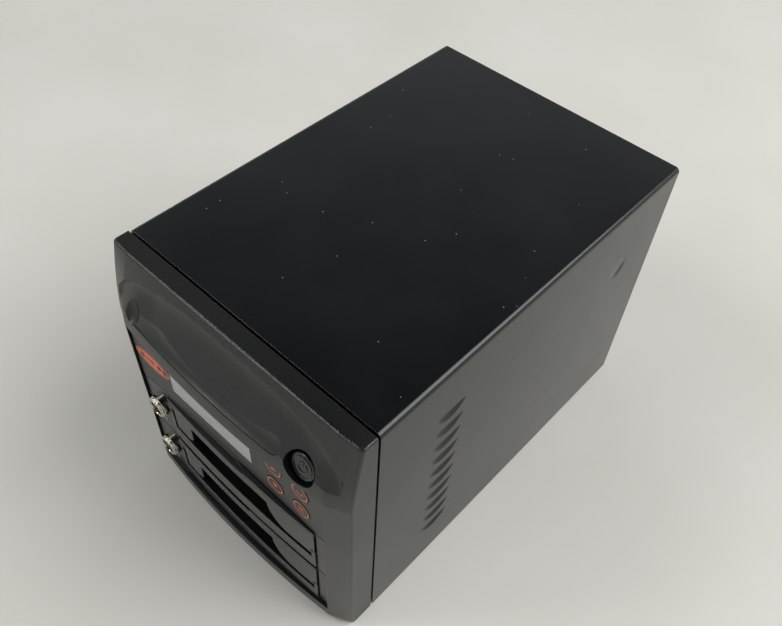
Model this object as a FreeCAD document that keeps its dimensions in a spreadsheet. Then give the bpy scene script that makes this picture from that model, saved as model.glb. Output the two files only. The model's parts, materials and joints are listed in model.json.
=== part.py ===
import FreeCAD, Part
import math
import os
import re
import Sketcher
from FreeCAD import Matrix, Placement, Rotation, Vector

# Drive duplicator: a small tower with three 5.25 inch bays. The upper bay holds the controller and
# its front panel, the two lower bays hold removable-drive racks, and the power supply lies on top
# of the drive cage behind the header of the front bezel.
#
# The case frame has X to the right seen from the front, Y to the back from the seam between bezel
# and cover, and Z up from the lower edge of the cover. Each sub-part is then placed so that the
# whole object stands on Z = 0 with its origin at the middle of its footprint.

SIZES = {
    # cover and chassis
    "case_width": 175.0, "case_height": 184.0, "case_depth": 245.0,
    "steel": 1.0, "bend_radius": 3.0, "rear_flange": 11.0, "top_flange": 2.5, "sheet_play": 0.2,
    "seam_gap": 1.5, "head_reach": 2.2, "floor_lip": 12.0,
    # louvres of the cover sides
    "louvre_count": 10, "louvre_pitch": 12.67, "louvre_width": 22.0, "louvre_height": 7.5,
    "louvre_depth": 3.2, "louvre_top": 151.0, "louvre_middle": 50.0,
    # feet
    "foot_height": 3.0, "foot_radius": 9.0, "foot_side": 20.0, "foot_front": 22.0, "foot_rear": 25.0,
    # bays
    "bay_width": 148.8, "bay_pitch": 42.0, "bay_floor": 12.0, "bay_count": 3,
    "cage_depth": 160.0, "cage_flange": 8.5, "rail_width": 6.0, "cage_headroom": 2.0,
    # front bezel, with its reaches measured forward from the seam
    "bezel_wall": 2.5, "front_reach": 27.6, "column_reach": 23.2, "corner_reach": 18.1,
    "side_reach": 16.2, "corner_inset": 2.0, "column_inset": 12.5, "top_reach": 11.5,
    "top_side_reach": 8.5, "lean_power": 1.4, "lip_tuck": 2.6, "lip_round": 6.0,
    "crown_round": 1.2, "scoop_rim": 180.5, "scoop_foot": 149.0, "scoop_half_width": 82.0,
    "scoop_depth": 5.5, "scoop_left_end": 3.0, "scoop_right_end": 5.0, "smile_radius": 230.0,
    "smile_height": 152.0, "smile_right": 46.0,
    "smile_round": 4.8, "smile_base": 146.0, "smile_depth": 2.8, "line_depth": 0.6,
    "header_lean": 19.0, "hollow_x": -67.5, "hollow_height": 153.0, "hollow_half_width": 6.5,
    "hollow_half_height": 9.5, "hollow_half_depth": 6.0, "hollow_depth": 4.0,
    # power button
    "button_x": 59.0, "button_height": 149.0, "button_reach": 20.2, "button_lean": 15.0,
    "button_radius": 7.8, "button_length": 6.0, "button_moat": 1.5, "moat_depth": 3.0,
    "button_play": 0.3, "button_travel": 2.5, "boss_wall": 2.4, "boss_length": 11.0,
    "stem_radius": 1.8, "stem_length": 4.5, "switch_width": 9.0, "switch_tall": 8.0,
    # faces of the bay units
    "face_reach": 22.0, "unit_width": 147.0, "unit_gap": 0.4, "unit_height": 41.0,
    # control panel
    "panel_thickness": 3.0, "panel_return": 7.0, "lcd_x": -11.0, "lcd_height": 20.5,
    "lcd_width": 64.0, "lcd_tall": 16.0, "lens_thickness": 1.5, "lens_play": 0.1,
    "module_width": 72.0, "module_tall": 30.0, "module_depth": 7.0,
    "key_x": 39.0, "key_pitch_x": 18.8, "key_low": 13.7, "key_pitch_z": 16.6, "key_radius": 5.8,
    "key_play": 0.3, "key_flange": 1.2, "key_proud": 0.3, "key_travel": 0.6, "key_stem": 1.7,
    "keyboard_gap": 5.5, "board": 1.6, "tray_sheet": 1.2, "controller_depth": 140.0,
    "controller_width": 146.0, "standoff": 6.0, "standoff_radius": 2.5, "controller_board_size": 118.0,
    "board_setback": 14.0, "chip_side": 32.0, "chip_height": 9.0, "data_socket_width": 16.0,
    "data_socket_length": 8.0, "data_socket_height": 8.0, "plug_width": 18.0, "plug_length": 10.0,
    "plug_height": 10.0, "cell_height": 12.0, "cell_radius": 4.0,
    # rack: shell, front frame, lock and light
    "rack_depth": 153.0, "shell_wall": 1.5, "frame_thickness": 4.0, "tray_left": 52.5,
    "tray_right": 66.5, "tray_gap": 0.4, "tray_base": 2.6, "tray_top": 39.4, "guide_wall": 1.5,
    "lock_x": 61.5, "lock_height": 23.0, "lock_radius": 6.4, "lock_flange": 7.0,
    "lock_reach": 3.5, "lock_length": 22.0, "core_radius": 4.4, "core_play": 0.05,
    "cam_length": 12.5, "cam_width": 6.0, "cam_thickness": 2.0, "cam_gap": 0.5,
    "light_x": 65.5, "light_height": 7.0, "light_width": 10.0, "light_tall": 1.6,
    "light_length": 14.0, "light_play": 0.05, "brow_reach": 3.3, "brow_left": 6.0,
    # tray and handle
    "tray_length": 150.0, "rail_height": 13.0, "tray_bulge": 2.2, "tray_end_reach": 23.0,
    "strip_top": 12.6, "handle_back": 19.5, "recess_reach": 10.0, "tray_wall": 2.5,
    "pivot_reach": 21.0, "pivot_height": 17.0, "knuckle": 2.2, "pin_radius": 1.2,
    "pin_play": 0.05, "bar_height": 6.6, "post_width": 3.5, "slit": 2.5, "pad_width": 16.0,
    "pad_corner": 5.5, "fin_left": 30.0, "fin_radius": 18.4, "fin_bevel": 3.0, "cheek": 2.5,
    "cheek_top": 20.5, "handle_play": 0.4, "notch_play": 1.0, "handle_end_play": 0.2,
    "drive_length": 147.0, "drive_hole_x": 95.25, "drive_hole_y": 44.45,
    "drive_hole_rear": 41.28, "drive_hole_radius": 1.9,
    "socket_width": 42.0, "socket_depth": 7.0, "socket_tall": 7.0,
    # power supply
    "supply_width": 81.5, "supply_height": 40.5, "supply_depth": 150.0, "supply_side": 15.75,
    "supply_sheet": 0.8, "cutout_margin": 1.5, "supply_stud": 4.0, "supply_stud_radius": 2.0,
    "supply_board_length": 114.0, "coil_width": 30.0, "coil_length": 28.0, "coil_height": 24.0,
    "sink_thickness": 4.0, "sink_length": 80.0, "sink_height": 26.0, "can_radius": 11.0,
    "can_height": 25.0, "small_can_radius": 5.0, "small_can_height": 20.0,
    "inlet_x": 21.0, "inlet_height": 13.25, "inlet_width": 27.0, "inlet_tall": 19.5,
    "inlet_flange": 1.6, "inlet_rim": 1.8, "inlet_depth": 18.0, "socket_hole_width": 24.0,
    "socket_hole_tall": 15.8, "socket_hole_depth": 15.5, "blade_length": 10.5,
    "rocker_height": 31.4, "rocker_width": 19.0, "rocker_tall": 11.0, "rocker_tilt": 7.0,
    "rocker_play": 0.4, "small_fan": 38.0, "small_fan_depth": 15.0, "small_fan_x": -18.5,
    # exhaust fan
    "fan_side": 80.0, "fan_depth": 25.0, "fan_height": 62.0, "fan_ring": 2.0, "fan_hub": 16.5,
    "fan_blades": 7, "small_hub": 9.0, "tip_gap": 0.8, "shaft_radius": 1.5, "shaft_play": 0.05,
    "fan_hole_share": 0.447, "grille_pitch": 7.0, "grille_hole": 2.6,
    # fasteners and cables
    "screw_radius": 1.6, "screw_head": 3.1, "screw_length": 5.0,
    "data_cable": 2.4, "power_cable": 3.2,
}

doc = FreeCAD.newDocument("DriveDuplicator")
sheet = doc.addObject("Spreadsheet::Sheet", "Sizes")
for row, (alias, value) in enumerate(SIZES.items(), start=1):
    sheet.set(f"A{row}", alias)
    sheet.set(f"B{row}", str(value))
    sheet.setAlias(f"B{row}", alias)
doc.recompute()

# Places that several sub-parts share, as expressions over the sheet's aliases.
HALF = "case_width / 2"
INNER = "(case_width / 2 - steel)"
BAY_TOP = "(bay_floor + bay_count * bay_pitch)"
CAGE_TOP = f"({BAY_TOP} + cage_headroom)"
CAGE_SIDE = "(bay_width / 2)"
REAR = "(case_depth - 2 * steel)"
SEAM = "((front_reach - case_depth - head_reach) / 2)"
PANEL_FLOOR = "(bay_floor + 2 * bay_pitch)"
RACKS = {"upper": "(bay_floor + bay_pitch)", "lower": "bay_floor"}
PIVOT_Y = "-pivot_reach"
TRAY_MIDDLE = "((tray_right - tray_left) / 2)"
SUPPLY_FLOOR = CAGE_TOP
SUPPLY_BACK = REAR
SUPPLY_X = f"(supply_side + supply_width / 2 - {INNER})"

subparts = []


def link(text):
    """Turn bare aliases into references to the sheet."""
    return re.sub(r"[a-z_]+\b", lambda word: "Sizes." + word[0] if word[0] in SIZES else word[0], str(text))


def size(alias):
    return float(sheet.get(alias))


def move(thing, x, y, z):
    for axis, text in zip("xyz", (x, y, z)):
        thing.setExpression("Placement.Base." + axis, link(text))
    return thing


TURNS = {"Z": Rotation(), "Y": Rotation(Vector(1, 0, 0), -90), "X": Rotation(Vector(0, 1, 0), 90)}


def block(x, y, z):
    """A box between two planes on each axis."""
    thing = doc.addObject("Part::Box", "Block")
    for prop, (low, high) in zip(("Length", "Width", "Height"), (x, y, z)):
        thing.setExpression(prop, link(f"({high}) - ({low})"))
    return move(thing, x[0], y[0], z[0])


def along(thing, axis, centre, start):
    """Point a round primitive along an axis, with its centre line at centre."""
    thing.Placement = Placement(Vector(), TURNS[axis])
    spots = {"X": (start, *centre), "Y": (centre[0], start, centre[1]), "Z": (*centre, start)}
    return move(thing, *spots[axis])


def rod(axis, centre, span, radius):
    thing = doc.addObject("Part::Cylinder", "Rod")
    thing.setExpression("Radius", link(radius))
    thing.setExpression("Height", link(f"({span[1]}) - ({span[0]})"))
    return along(thing, axis, centre, span[0])


def taper(axis, centre, span, first, last):
    thing = doc.addObject("Part::Cone", "Taper")
    thing.setExpression("Radius1", link(first))
    thing.setExpression("Radius2", link(last))
    thing.setExpression("Height", link(f"({span[1]}) - ({span[0]})"))
    return along(thing, axis, centre, span[0])


def ball(x, y, z, radius):
    thing = doc.addObject("Part::Sphere", "Ball")
    thing.setExpression("Radius", link(radius))
    return move(thing, x, y, z)


def join(*parts):
    if len(parts) == 1:
        return parts[0]
    thing = doc.addObject("Part::MultiFuse", "Join")
    thing.Shapes = list(parts)
    thing.Refine = True
    return thing


def cut(base, *tools):
    thing = doc.addObject("Part::Cut", "Cut")
    thing.Base = base
    thing.Tool = join(*tools)
    return thing


def overlap(*parts):
    thing = doc.addObject("Part::MultiCommon", "Overlap")
    thing.Shapes = list(parts)
    return thing


def group(*parts):
    thing = doc.addObject("Part::Compound", "Group")
    thing.Links = list(parts)
    return thing


def from_shape(shape):
    thing = doc.addObject("Part::Feature", "Shape")
    thing.Shape = Part.Compound([shape])
    return thing


def shape_of(thing):
    doc.recompute()
    return thing.Shape


def subpart(label, thing):
    """Name a finished piece and place it from the case frame into the object's frame."""
    if not thing.isDerivedFrom("PartDesign::Body") and thing.TypeId not in (
            "Part::Cut", "Part::MultiFuse", "Part::MultiCommon", "Part::Compound", "Part::Feature"):
        thing = group(thing)
    thing.Label = label
    move(thing, "0", SEAM, "foot_height")
    subparts.append(thing)
    return thing


def plane_sketch(body, role, name, offset):
    sketch = body.newObject("Sketcher::SketchObject", name)
    plane = next(item for item in body.Origin.OriginFeatures if item.Role == role)
    sketch.AttachmentSupport = [(plane, "")]
    sketch.MapMode = "FlatFace"
    sketch.setExpression("AttachmentOffset.Base.z", link(offset))
    return sketch


def pin_point(sketch, element, point, place):
    """Hold one point of a sketch at a place given by two expressions."""
    for kind, text in zip(("DistanceX", "DistanceY"), place):
        number = sketch.addConstraint(Sketcher.Constraint(kind, -1, 1, element, point, 1.0))
        sketch.setExpression(f"Constraints[{number}]", link(text))


def draw_outline(sketch, corners):
    """A closed polygon whose corners are held by expressions."""
    count = len(corners)
    ring = [Vector(math.cos(2 * math.pi * i / count), math.sin(2 * math.pi * i / count), 0) * 10
            for i in range(count)]
    for i in range(count):
        sketch.addGeometry(Part.LineSegment(ring[i], ring[(i + 1) % count]))
    for i in range(count):
        sketch.addConstraint(Sketcher.Constraint("Coincident", i, 2, (i + 1) % count, 1))
    for i, corner in enumerate(corners):
        pin_point(sketch, i, 1, corner)


def draw_circles(sketch, circles):
    for i, (x, y, radius) in enumerate(circles):
        sketch.addGeometry(Part.Circle(Vector(10 * i, 0, 0), Vector(0, 0, 1), 1.0))
        number = sketch.addConstraint(Sketcher.Constraint("Radius", i, 1.0))
        sketch.setExpression(f"Constraints[{number}]", link(radius))
        pin_point(sketch, i, 3, (x, y))


def sheet_body(role, corners, start, length):
    """A body padded from one outline, along +X, +Y or +Z from the start plane."""
    body = doc.addObject("PartDesign::Body", "Body")
    flipped = role == "XZ_Plane"
    sketch = plane_sketch(body, role, "Outline", f"-({start})" if flipped else start)
    draw_outline(sketch, corners)
    pad = body.newObject("PartDesign::Pad", "Pad")
    pad.Profile = sketch
    pad.setExpression("Length", link(length))
    pad.Reversed = flipped
    doc.recompute()
    return body


def pierce(body, role, circles=(), windows=()):
    """Cut round holes or polygons right through a body, both ways from an origin plane."""
    before = shape_of(body).Volume
    for number, shapes in enumerate([circles] * bool(circles) + [[window] for window in windows]):
        sketch = plane_sketch(body, role, "Holes", "0")
        if circles and number == 0:
            draw_circles(sketch, shapes)
        else:
            draw_outline(sketch, shapes[0])
        pocket = body.newObject("PartDesign::Pocket", "Pocket")
        pocket.Profile = sketch
        pocket.Type = "ThroughAll"
        pocket.Midplane = True
    if not shape_of(body).Volume < before:
        raise RuntimeError("a pocket of " + body.Name + " cuts nothing")
    return body


def frame_corners(x, y):
    return [(x[0], y[0]), (x[1], y[0]), (x[1], y[1]), (x[0], y[1])]


def round_edges(body, radius, chosen):
    """Round the edges of a body's tip that the test picks."""
    doc.recompute()
    tip = body.Tip
    names = [f"Edge{i}" for i, edge in enumerate(tip.Shape.Edges, start=1) if chosen(edge)]
    fillet = body.newObject("PartDesign::Fillet", "Bend")
    fillet.Base = (tip, names)
    fillet.setExpression("Radius", link(radius))
    doc.recompute()


def mirrored(thing):
    """The same shape on the other side of the case's middle plane."""
    twin = doc.addObject("Part::Mirroring", "Twin")
    twin.Source = thing
    twin.Normal = Vector(1, 0, 0)
    return twin


def screw(axis, centre, seat, inward=1):
    """A pan-head screw whose head sits on the seat plane, with its shank going inward."""
    head = (f"{seat} - head_reach", seat) if inward > 0 else (seat, f"{seat} + head_reach")
    shank = (seat, f"{seat} + screw_length") if inward > 0 else (f"{seat} - screw_length", seat)
    dome = ("screw_head * 0.7", "screw_head") if inward > 0 else ("screw_head", "screw_head * 0.7")
    slot_y = head[0] if inward > 0 else f"{head[1]} - head_reach / 2"
    body = join(taper(axis, centre, head, *dome), rod(axis, centre, shank, "screw_radius"))
    spans = {"X": ((slot_y, f"{slot_y} + head_reach / 2"),
                   (f"{centre[0]} - screw_head", f"{centre[0]} + screw_head"),
                   (f"{centre[1]} - 0.4", f"{centre[1]} + 0.4")),
             "Y": ((f"{centre[0]} - screw_head", f"{centre[0]} + screw_head"),
                   (slot_y, f"{slot_y} + head_reach / 2"),
                   (f"{centre[1]} - 0.4", f"{centre[1]} + 0.4"))}
    return cut(body, block(*spans[axis]))


# ---------------------------------------------------------------- cover and chassis

def make_cover():
    body = sheet_body("XZ_Plane", [
        (f"-{HALF}", "0"), (f"-{HALF} + steel", "0"), (f"-{HALF} + steel", "case_height - steel"),
        (f"{HALF} - steel", "case_height - steel"), (f"{HALF} - steel", "0"), (HALF, "0"),
        (HALF, "case_height"), (f"-{HALF}", "case_height")], "0", "case_depth")
    half = size("case_width") / 2
    top = size("case_height")

    def bend(inset):
        """Pick the two long edges of the sheet's top corners."""
        return lambda edge: (edge.BoundBox.YLength > 1 and abs(edge.BoundBox.ZMin - top + inset) < 0.01
                             and abs(abs(edge.BoundBox.Center.x) - half + inset) < 0.01)
    round_edges(body, "bend_radius - steel", bend(size("steel")))
    round_edges(body, "bend_radius", bend(0))
    flange = cut(block((f"-{INNER}", INNER), ("case_depth - steel", "case_depth"),
                       ("0", "case_height - steel")),
                 block((f"-{INNER} + rear_flange", f"{INNER} - rear_flange"),
                       ("case_depth - 2 * steel", "case_depth + steel"),
                       ("-steel", "case_height - steel - top_flange")))
    corner = size("bend_radius")
    flange = overlap(flange, rounded_block(corner))
    holes = [rod("Y", spot, ("case_depth - 2 * steel", "case_depth + steel"), "screw_radius")
             for spot in cover_screw_spots()]
    # A louvre is a ball pressed inward through the side sheet and cut flat along its upper edge.
    segment = "((louvre_width ^ 2 / 4 + louvre_height ^ 2) / (2 * louvre_height))"
    punch = f"(({segment} ^ 2 + louvre_depth ^ 2) / (2 * louvre_depth))"
    skins, hollows = [], []
    for i in range(int(size("louvre_count"))):
        edge = f"(louvre_top - {i} * louvre_pitch)"
        centre = (f"{HALF} + {punch} - louvre_depth", "louvre_middle", f"{edge} + {segment} - louvre_height")
        zone = (("louvre_middle - louvre_width", "louvre_middle + louvre_width"),
                (f"{edge} - louvre_height * 2", edge))
        skins.append(overlap(ball(*centre, f"{punch} + steel"),
                             block((f"{HALF} - 3 * louvre_depth", f"{HALF} - steel / 2"), *zone)))
        hollows.append(overlap(ball(*centre, punch),
                               block((f"{HALF} - 3 * louvre_depth", f"{HALF} + steel"), *zone)))
    skin = group(*skins)
    hollow = group(*hollows)
    sides = join(body, flange, skin, mirrored(skin))
    subpart("cover", cut(sides, hollow, mirrored(hollow), *holes))


def rounded_block(corner):
    """The cover's outer outline as a solid, to trim the flange at the rounded bends."""
    bar = block((f"-{HALF} + bend_radius", f"{HALF} - bend_radius"), ("0", "case_depth"),
                ("0", "case_height"))
    low = block((f"-{HALF}", HALF), ("0", "case_depth"), ("0", "case_height - bend_radius"))
    bends = [rod("Y", (f"{sign}({HALF} - bend_radius)", "case_height - bend_radius"), ("0", "case_depth"),
                 "bend_radius") for sign in ("", "-")]
    return join(bar, low, *bends)


def cover_screw_spots():
    side = f"({INNER} - rear_flange / 2)"
    return [(f"{sign}{side}", height) for sign in ("", "-")
            for height in ("16", "case_height / 2", "case_height - 18")]


def make_chassis():
    plate = f"({INNER} - sheet_play)"
    body = sheet_body("XZ_Plane", [
        (f"-{plate}", "0"), (plate, "0"), (plate, "floor_lip"), (f"{plate} - steel", "floor_lip"),
        (f"{plate} - steel", "steel"), (f"-{plate} + steel", "steel"), (f"-{plate} + steel", "floor_lip"),
        (f"-{plate}", "floor_lip")], "0", REAR)
    pierce(body, "XY_Plane", circles=[(x, y, "screw_radius") for x, y in foot_spots()])
    subpart("chassis_floor", body)

    panel = sheet_body("XZ_Plane", frame_corners((f"-{plate}", plate),
                                                 ("steel", "case_height - steel - sheet_play - bend_radius")),
                       REAR, "steel")
    window = frame_corners(
        (f"{SUPPLY_X} + inlet_x - inlet_width / 2 - 2 * inlet_rim",
         f"{SUPPLY_X} + supply_width / 2 - cutout_margin"),
        (f"{SUPPLY_FLOOR} + cutout_margin", f"{SUPPLY_FLOOR} + supply_height - cutout_margin"))
    small = supply_spot("small_fan_x", "supply_height / 2")
    spots = fan_screw_spots("fan_side", "0", "fan_height")
    spots += fan_screw_spots("small_fan", *small) + cover_screw_spots()
    screws = [(x, z, "screw_radius") for x, z in spots] + [(*small, "small_fan / 2 - fan_ring")]
    vents = [(f"{column} * grille_pitch + {row % 2} * grille_pitch / 2",
              f"fan_height + {row} * grille_pitch * 0.866",
              "grille_hole") for row in range(-5, 6) for column in range(-6, 6)
             if math.hypot(column + (row % 2) / 2, row * 0.866) < 5.3]
    slots = [frame_corners((f"45 + {i} * 6", f"48 + {i} * 6"), ("case_height - 42", "case_height - 14"))
             for i in range(5)]
    pierce(panel, "XZ_Plane", circles=screws, windows=[window] + slots)
    grille = [rod("Y", (x, z), (f"{REAR} - 1", f"{REAR} + 2 * steel"), radius) for x, z, radius in vents]
    subpart("rear_panel", cut(panel, *grille))

    feet = []
    for x, y in foot_spots():
        pad = taper("Z", (x, y), ("-foot_height", "0"), "foot_radius * 0.85", "foot_radius")
        feet.append(cut(join(pad, rod("Z", (x, y), ("0", "steel + 1.5"), "screw_radius")),
                        rod("Z", (x, y), ("-foot_height - 1", "-foot_height / 2"), "screw_head")))
    subpart("rubber_feet", group(*feet))


def foot_spots():
    return [(f"{sign}({HALF} - foot_side)", y) for sign in ("", "-")
            for y in ("foot_front", "case_depth - foot_rear")]


def fan_screw_spots(side, x, z):
    reach = f"{side} * fan_hole_share"
    return [(f"{x} {a} {reach}", f"{z} {b} {reach}") for a in "+-" for b in "+-"]


def make_cage():
    outer = f"({CAGE_SIDE} + steel)"
    foot = f"({outer} + cage_flange)"
    body = sheet_body("XZ_Plane", [
        (f"-{foot}", "steel"), (f"-{CAGE_SIDE}", "steel"), (f"-{CAGE_SIDE}", f"{CAGE_TOP} - steel"),
        (CAGE_SIDE, f"{CAGE_TOP} - steel"), (CAGE_SIDE, "steel"), (foot, "steel"), (foot, "2 * steel"),
        (outer, "2 * steel"), (outer, CAGE_TOP), (f"-{outer}", CAGE_TOP), (f"-{outer}", "2 * steel"),
        (f"-{foot}", "2 * steel")], "-seam_gap", "cage_depth + seam_gap")
    windows = [frame_corners(("30", "cage_depth - 30"),
                             (f"bay_floor + {i} * bay_pitch + 12", f"bay_floor + {i} * bay_pitch + 30"))
               for i in range(int(size("bay_count")))]
    spots = [(y, z, "screw_radius") for y, z in rack_screw_spots()]
    pierce(body, "YZ_Plane", circles=spots, windows=windows)
    rails = []
    for i in range(int(size("bay_count"))):
        level = f"bay_floor + {i} * bay_pitch"
        for low, high in ((f"-{CAGE_SIDE} - steel / 2", f"-{CAGE_SIDE} + rail_width"),
                          (f"{CAGE_SIDE} - rail_width", f"{CAGE_SIDE} + steel / 2")):
            rails.append(block((low, high), ("6", "cage_depth - 6"), (f"{level} - steel", level)))
    flanges = [block((f"{sign}({outer} + 4) - 4.2", f"{sign}({outer} + 4) + 4.2"),
                     ("-seam_gap", "steel - seam_gap"),
                     ("2 * steel", CAGE_TOP)) for sign in ("", "-")]
    subpart("drive_cage", join(body, *rails, *flanges))


def rack_screw_spots():
    return [(y, f"bay_floor + {i} * bay_pitch + 10") for i in range(int(size("bay_count")))
            for y in ("20", "cage_depth - 50")]


# ---------------------------------------------------------------- front bezel

def header_reach(height, below, above):
    """How far the bezel reaches forward at one height, from its reach at the bays to that at the top."""
    low, top = bay_top(), size("case_height")
    return below + (above - below) * max(0.0, (height - low) / (top - low)) ** size("lean_power")


def bay_top():
    return size("bay_floor") + size("bay_count") * size("bay_pitch")


def bezel_section(height, inset=0.0, shift=0.0):
    """The bezel's plan outline at one height: flat sides, rounded corners and a bulged front."""
    fade = max(0.0, 1 - height / size("lip_round"))
    tuck = size("lip_tuck") * (1 - math.sqrt(1 - fade ** 2)) if fade else 0.0

    def reach(below, above):
        return -(header_reach(height, below, above) - tuck - inset) + shift
    half = size("case_width") / 2 - inset
    top_reach = size("top_reach")
    back = -size("seam_gap") + shift
    side = reach(size("side_reach"), size("top_side_reach"))
    corner = reach(size("corner_reach"), top_reach - 0.7)
    column = reach(size("column_reach"), top_reach - 0.1)
    front = reach(size("front_reach"), top_reach)
    corner_x = half - size("corner_inset")
    column_x = half - size("column_inset")
    bend = Vector(half - size("corner_inset") * 0.25, side - (side - corner) * 0.62, height)
    points = [Vector(-half, back, height), Vector(half, back, height), Vector(half, side, height),
              Vector(corner_x, corner, height), Vector(column_x, column, height)]
    mirror = [Vector(-p.x, p.y, p.z) for p in points]
    edges = [Part.LineSegment(points[0], points[1]), Part.LineSegment(points[1], points[2]),
             Part.Arc(points[2], bend, points[3]), Part.LineSegment(points[3], points[4]),
             Part.Arc(points[4], Vector(0, front, height), mirror[4]),
             Part.LineSegment(mirror[4], mirror[3]),
             Part.Arc(mirror[3], Vector(-bend.x, bend.y, height), mirror[2]),
             Part.LineSegment(mirror[2], mirror[1])]
    return Part.Wire([edge.toShape() for edge in edges])


def bezel_solid(bottom, top, inset=0.0, shift=0.0):
    """The bezel's full outer form between two heights, inset by a wall or shifted back."""
    lip, crown = size("lip_round"), size("crown_round")
    rounds = [(top - crown * (1 - math.sin(a)), crown * (1 - math.cos(a))) for a in (0, 0.6, 1.1, 1.5)]
    spans = [[(bottom + (lip - bottom) * t, 0) for t in (0, 0.2, 0.5, 1)], [(lip, 0), (bay_top(), 0)],
             [(bay_top() + (top - crown - bay_top()) * t, 0) for t in (0, 0.15, 0.35, 0.6, 0.8, 1)], rounds]
    pieces = [Part.makeLoft([bezel_section(z, inset + more, shift) for z, more in levels], True,
                            len(levels) == 2)
              for levels in spans]
    return pieces[0].fuse(pieces[1:]).removeSplitter()


def face_y(x, height):
    """Where the bezel's bulged front lies, so that its hollows follow it."""
    middle = header_reach(height, size("front_reach"), size("top_reach"))
    column = header_reach(height, size("column_reach"), size("top_reach") - 0.1)
    corner = header_reach(height, size("corner_reach"), size("top_reach") - 0.7)
    half = size("case_width") / 2
    column_x, corner_x = half - size("column_inset"), half - size("corner_inset")
    if abs(x) < column_x:
        return -middle + (middle - column) * (x / column_x) ** 2
    return -column + (column - corner) * (abs(x) - column_x) / (corner_x - column_x)


def smile_edge(x):
    """Height of the smile's upper edge, an arc that hangs across the header."""
    return size("smile_height") + size("smile_radius") - math.sqrt(size("smile_radius") ** 2 - x ** 2)


def across(stations, curve):
    """A solid lofted across the header, open to the front, from one curve in its face per station."""
    ahead, sections = -2 * size("front_reach"), []
    for x in stations:
        edge = curve(x)
        high, low = edge.valueAt(edge.FirstParameter), edge.valueAt(edge.LastParameter)
        above, below = Vector(x, ahead, high.z), Vector(x, ahead, low.z)
        sections.append(Part.Wire([edge, Part.makeLine(low, below), Part.makeLine(below, above),
                                   Part.makeLine(above, high)]))
    return Part.makeLoft(sections, True, False)


def scoop_curve(x):
    """The bowl at one station: steep below its crisp rim, and fading into the face at its foot."""
    share = min(1.0, abs(x) / size("scoop_half_width"))
    tall = (size("scoop_rim") - size("scoop_foot")) * max(0.04, 1 - share ** 2.6) ** 0.33
    end = size("scoop_right_end") if x > 0 else size("scoop_left_end")
    depth = size("scoop_depth") * max(0.002, 1 - share ** end) ** 0.5 / 0.52
    foot = size("scoop_foot")
    poles = [Vector(x, face_y(x, foot + tall * part) + depth * sunk, foot + tall * part)
             for part, sunk in ((1, 0), (0.75, 1), (0.28, 0.3), (0, 0))]
    bowl = Part.BezierCurve()
    bowl.setPoles(poles)
    return bowl.toBSpline().toShape()


def smile_curve(x):
    """The smile's channel at one station: it drops in at its upper edge and rises to a fine step."""
    top, low = smile_edge(x), size("smile_base")
    middle = (top + low) / 2
    grown = min(1.0, (x - size("hollow_x") + 2) / (2 * size("hollow_half_width")))
    depth = size("line_depth") + (size("smile_depth") - size("line_depth")) * grown
    return Part.Arc(Vector(x, face_y(x, top) + depth, top),
                    Vector(x, face_y(x, middle) + depth, middle),
                    Vector(x, face_y(x, low) + size("line_depth"), low)).toShape()


def oval_hollow(name, stock=0.0):
    """An oval dish in the header's slope, or the same with stock left round it."""
    x, height = size(name + "_x"), size(name + "_height")
    halves = [size(f"{name}_half_{side}") + stock for side in ("width", "depth", "height")]
    stretch = Matrix()
    stretch.scale(*halves)
    dish = Part.makeSphere(1.0).transformGeometry(stretch)
    lean = math.radians(size("header_lean"))
    dish.rotate(Vector(), Vector(1, 0, 0), -size("header_lean"))
    away = size(f"{name}_half_depth") - size(name + "_depth")
    dish.translate(Vector(x, face_y(x, height) - away * math.cos(lean), height + away * math.sin(lean)))
    return dish


def make_bezel():
    wall = size("bezel_wall")
    outer = bezel_solid(0.0, size("case_height"))
    lining = bezel_solid(wall, size("case_height") - wall, wall, wall)
    bay_half, bay_low = size("bay_width") / 2, size("bay_floor")
    bay_tall, deep, start = bay_top() - bay_low, 3 * size("front_reach"), -2 * size("front_reach")
    surround = Part.makeBox(2 * (bay_half + wall), deep, bay_tall + 2 * wall,
                            Vector(-bay_half - wall, start, bay_low - wall))
    opening = Part.makeBox(2 * bay_half, deep, bay_tall, Vector(-bay_half, start, bay_low))

    # The bowl spans the header. Below it a shallow channel, the smile, ends in a round nose.
    half, left, right = size("scoop_half_width"), size("hollow_x"), size("smile_right")
    bowl = across([share * half
                   for share in (-1, -0.97, -0.9, -0.75, -0.5, -0.2, 0.2, 0.5, 0.75, 0.9, 0.97, 1)],
                  scoop_curve)
    smile = across([left + (right - left) * step / 6 for step in range(7)], smile_curve)
    nose_x, nose_z = right - size("smile_round"), size("smile_base") + size("smile_round")
    nose = Part.makeCylinder(size("smile_round"), deep, Vector(nose_x, start, nose_z), Vector(0, 1, 0))
    trunk = Part.makeBox(nose_x - left, deep, bay_low + size("bay_pitch"),
                         Vector(left, start, size("smile_base") - 1))
    smile = smile.common(trunk.fuse(nose))
    recess = bowl.fuse(smile).fuse(oval_hollow("hollow"))

    # The header is thick behind its hollows, so that a wall is left under each.
    behind = Vector(0, wall, 0)
    bowl_back, smile_back = bowl.translated(behind * 1.2), smile.translated(behind)
    inner = lining.cut(surround).cut(bowl_back).cut(smile_back).cut(oval_hollow("hollow", wall))
    shell = outer.cut(inner).cut(recess).cut(opening)

    # The button slides in a sleeve along the header's slope, with a wider moat around its cap.
    reach = size("button_radius") + size("button_play")
    sleeve = button_rod(reach + size("boss_wall"), size("moat_depth"), size("boss_length"))
    bore = button_rod(reach, -size("front_reach"), size("boss_length") + 1)
    moat = button_rod(size("button_radius") + size("button_moat"), -size("front_reach"), size("moat_depth"))
    shell = shell.fuse(sleeve.common(outer)).cut(opening).cut(bore).cut(moat)
    shell = max(shell.removeSplitter().Solids, key=lambda solid: solid.Volume)
    subpart("front_bezel", from_shape(shell))


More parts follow.
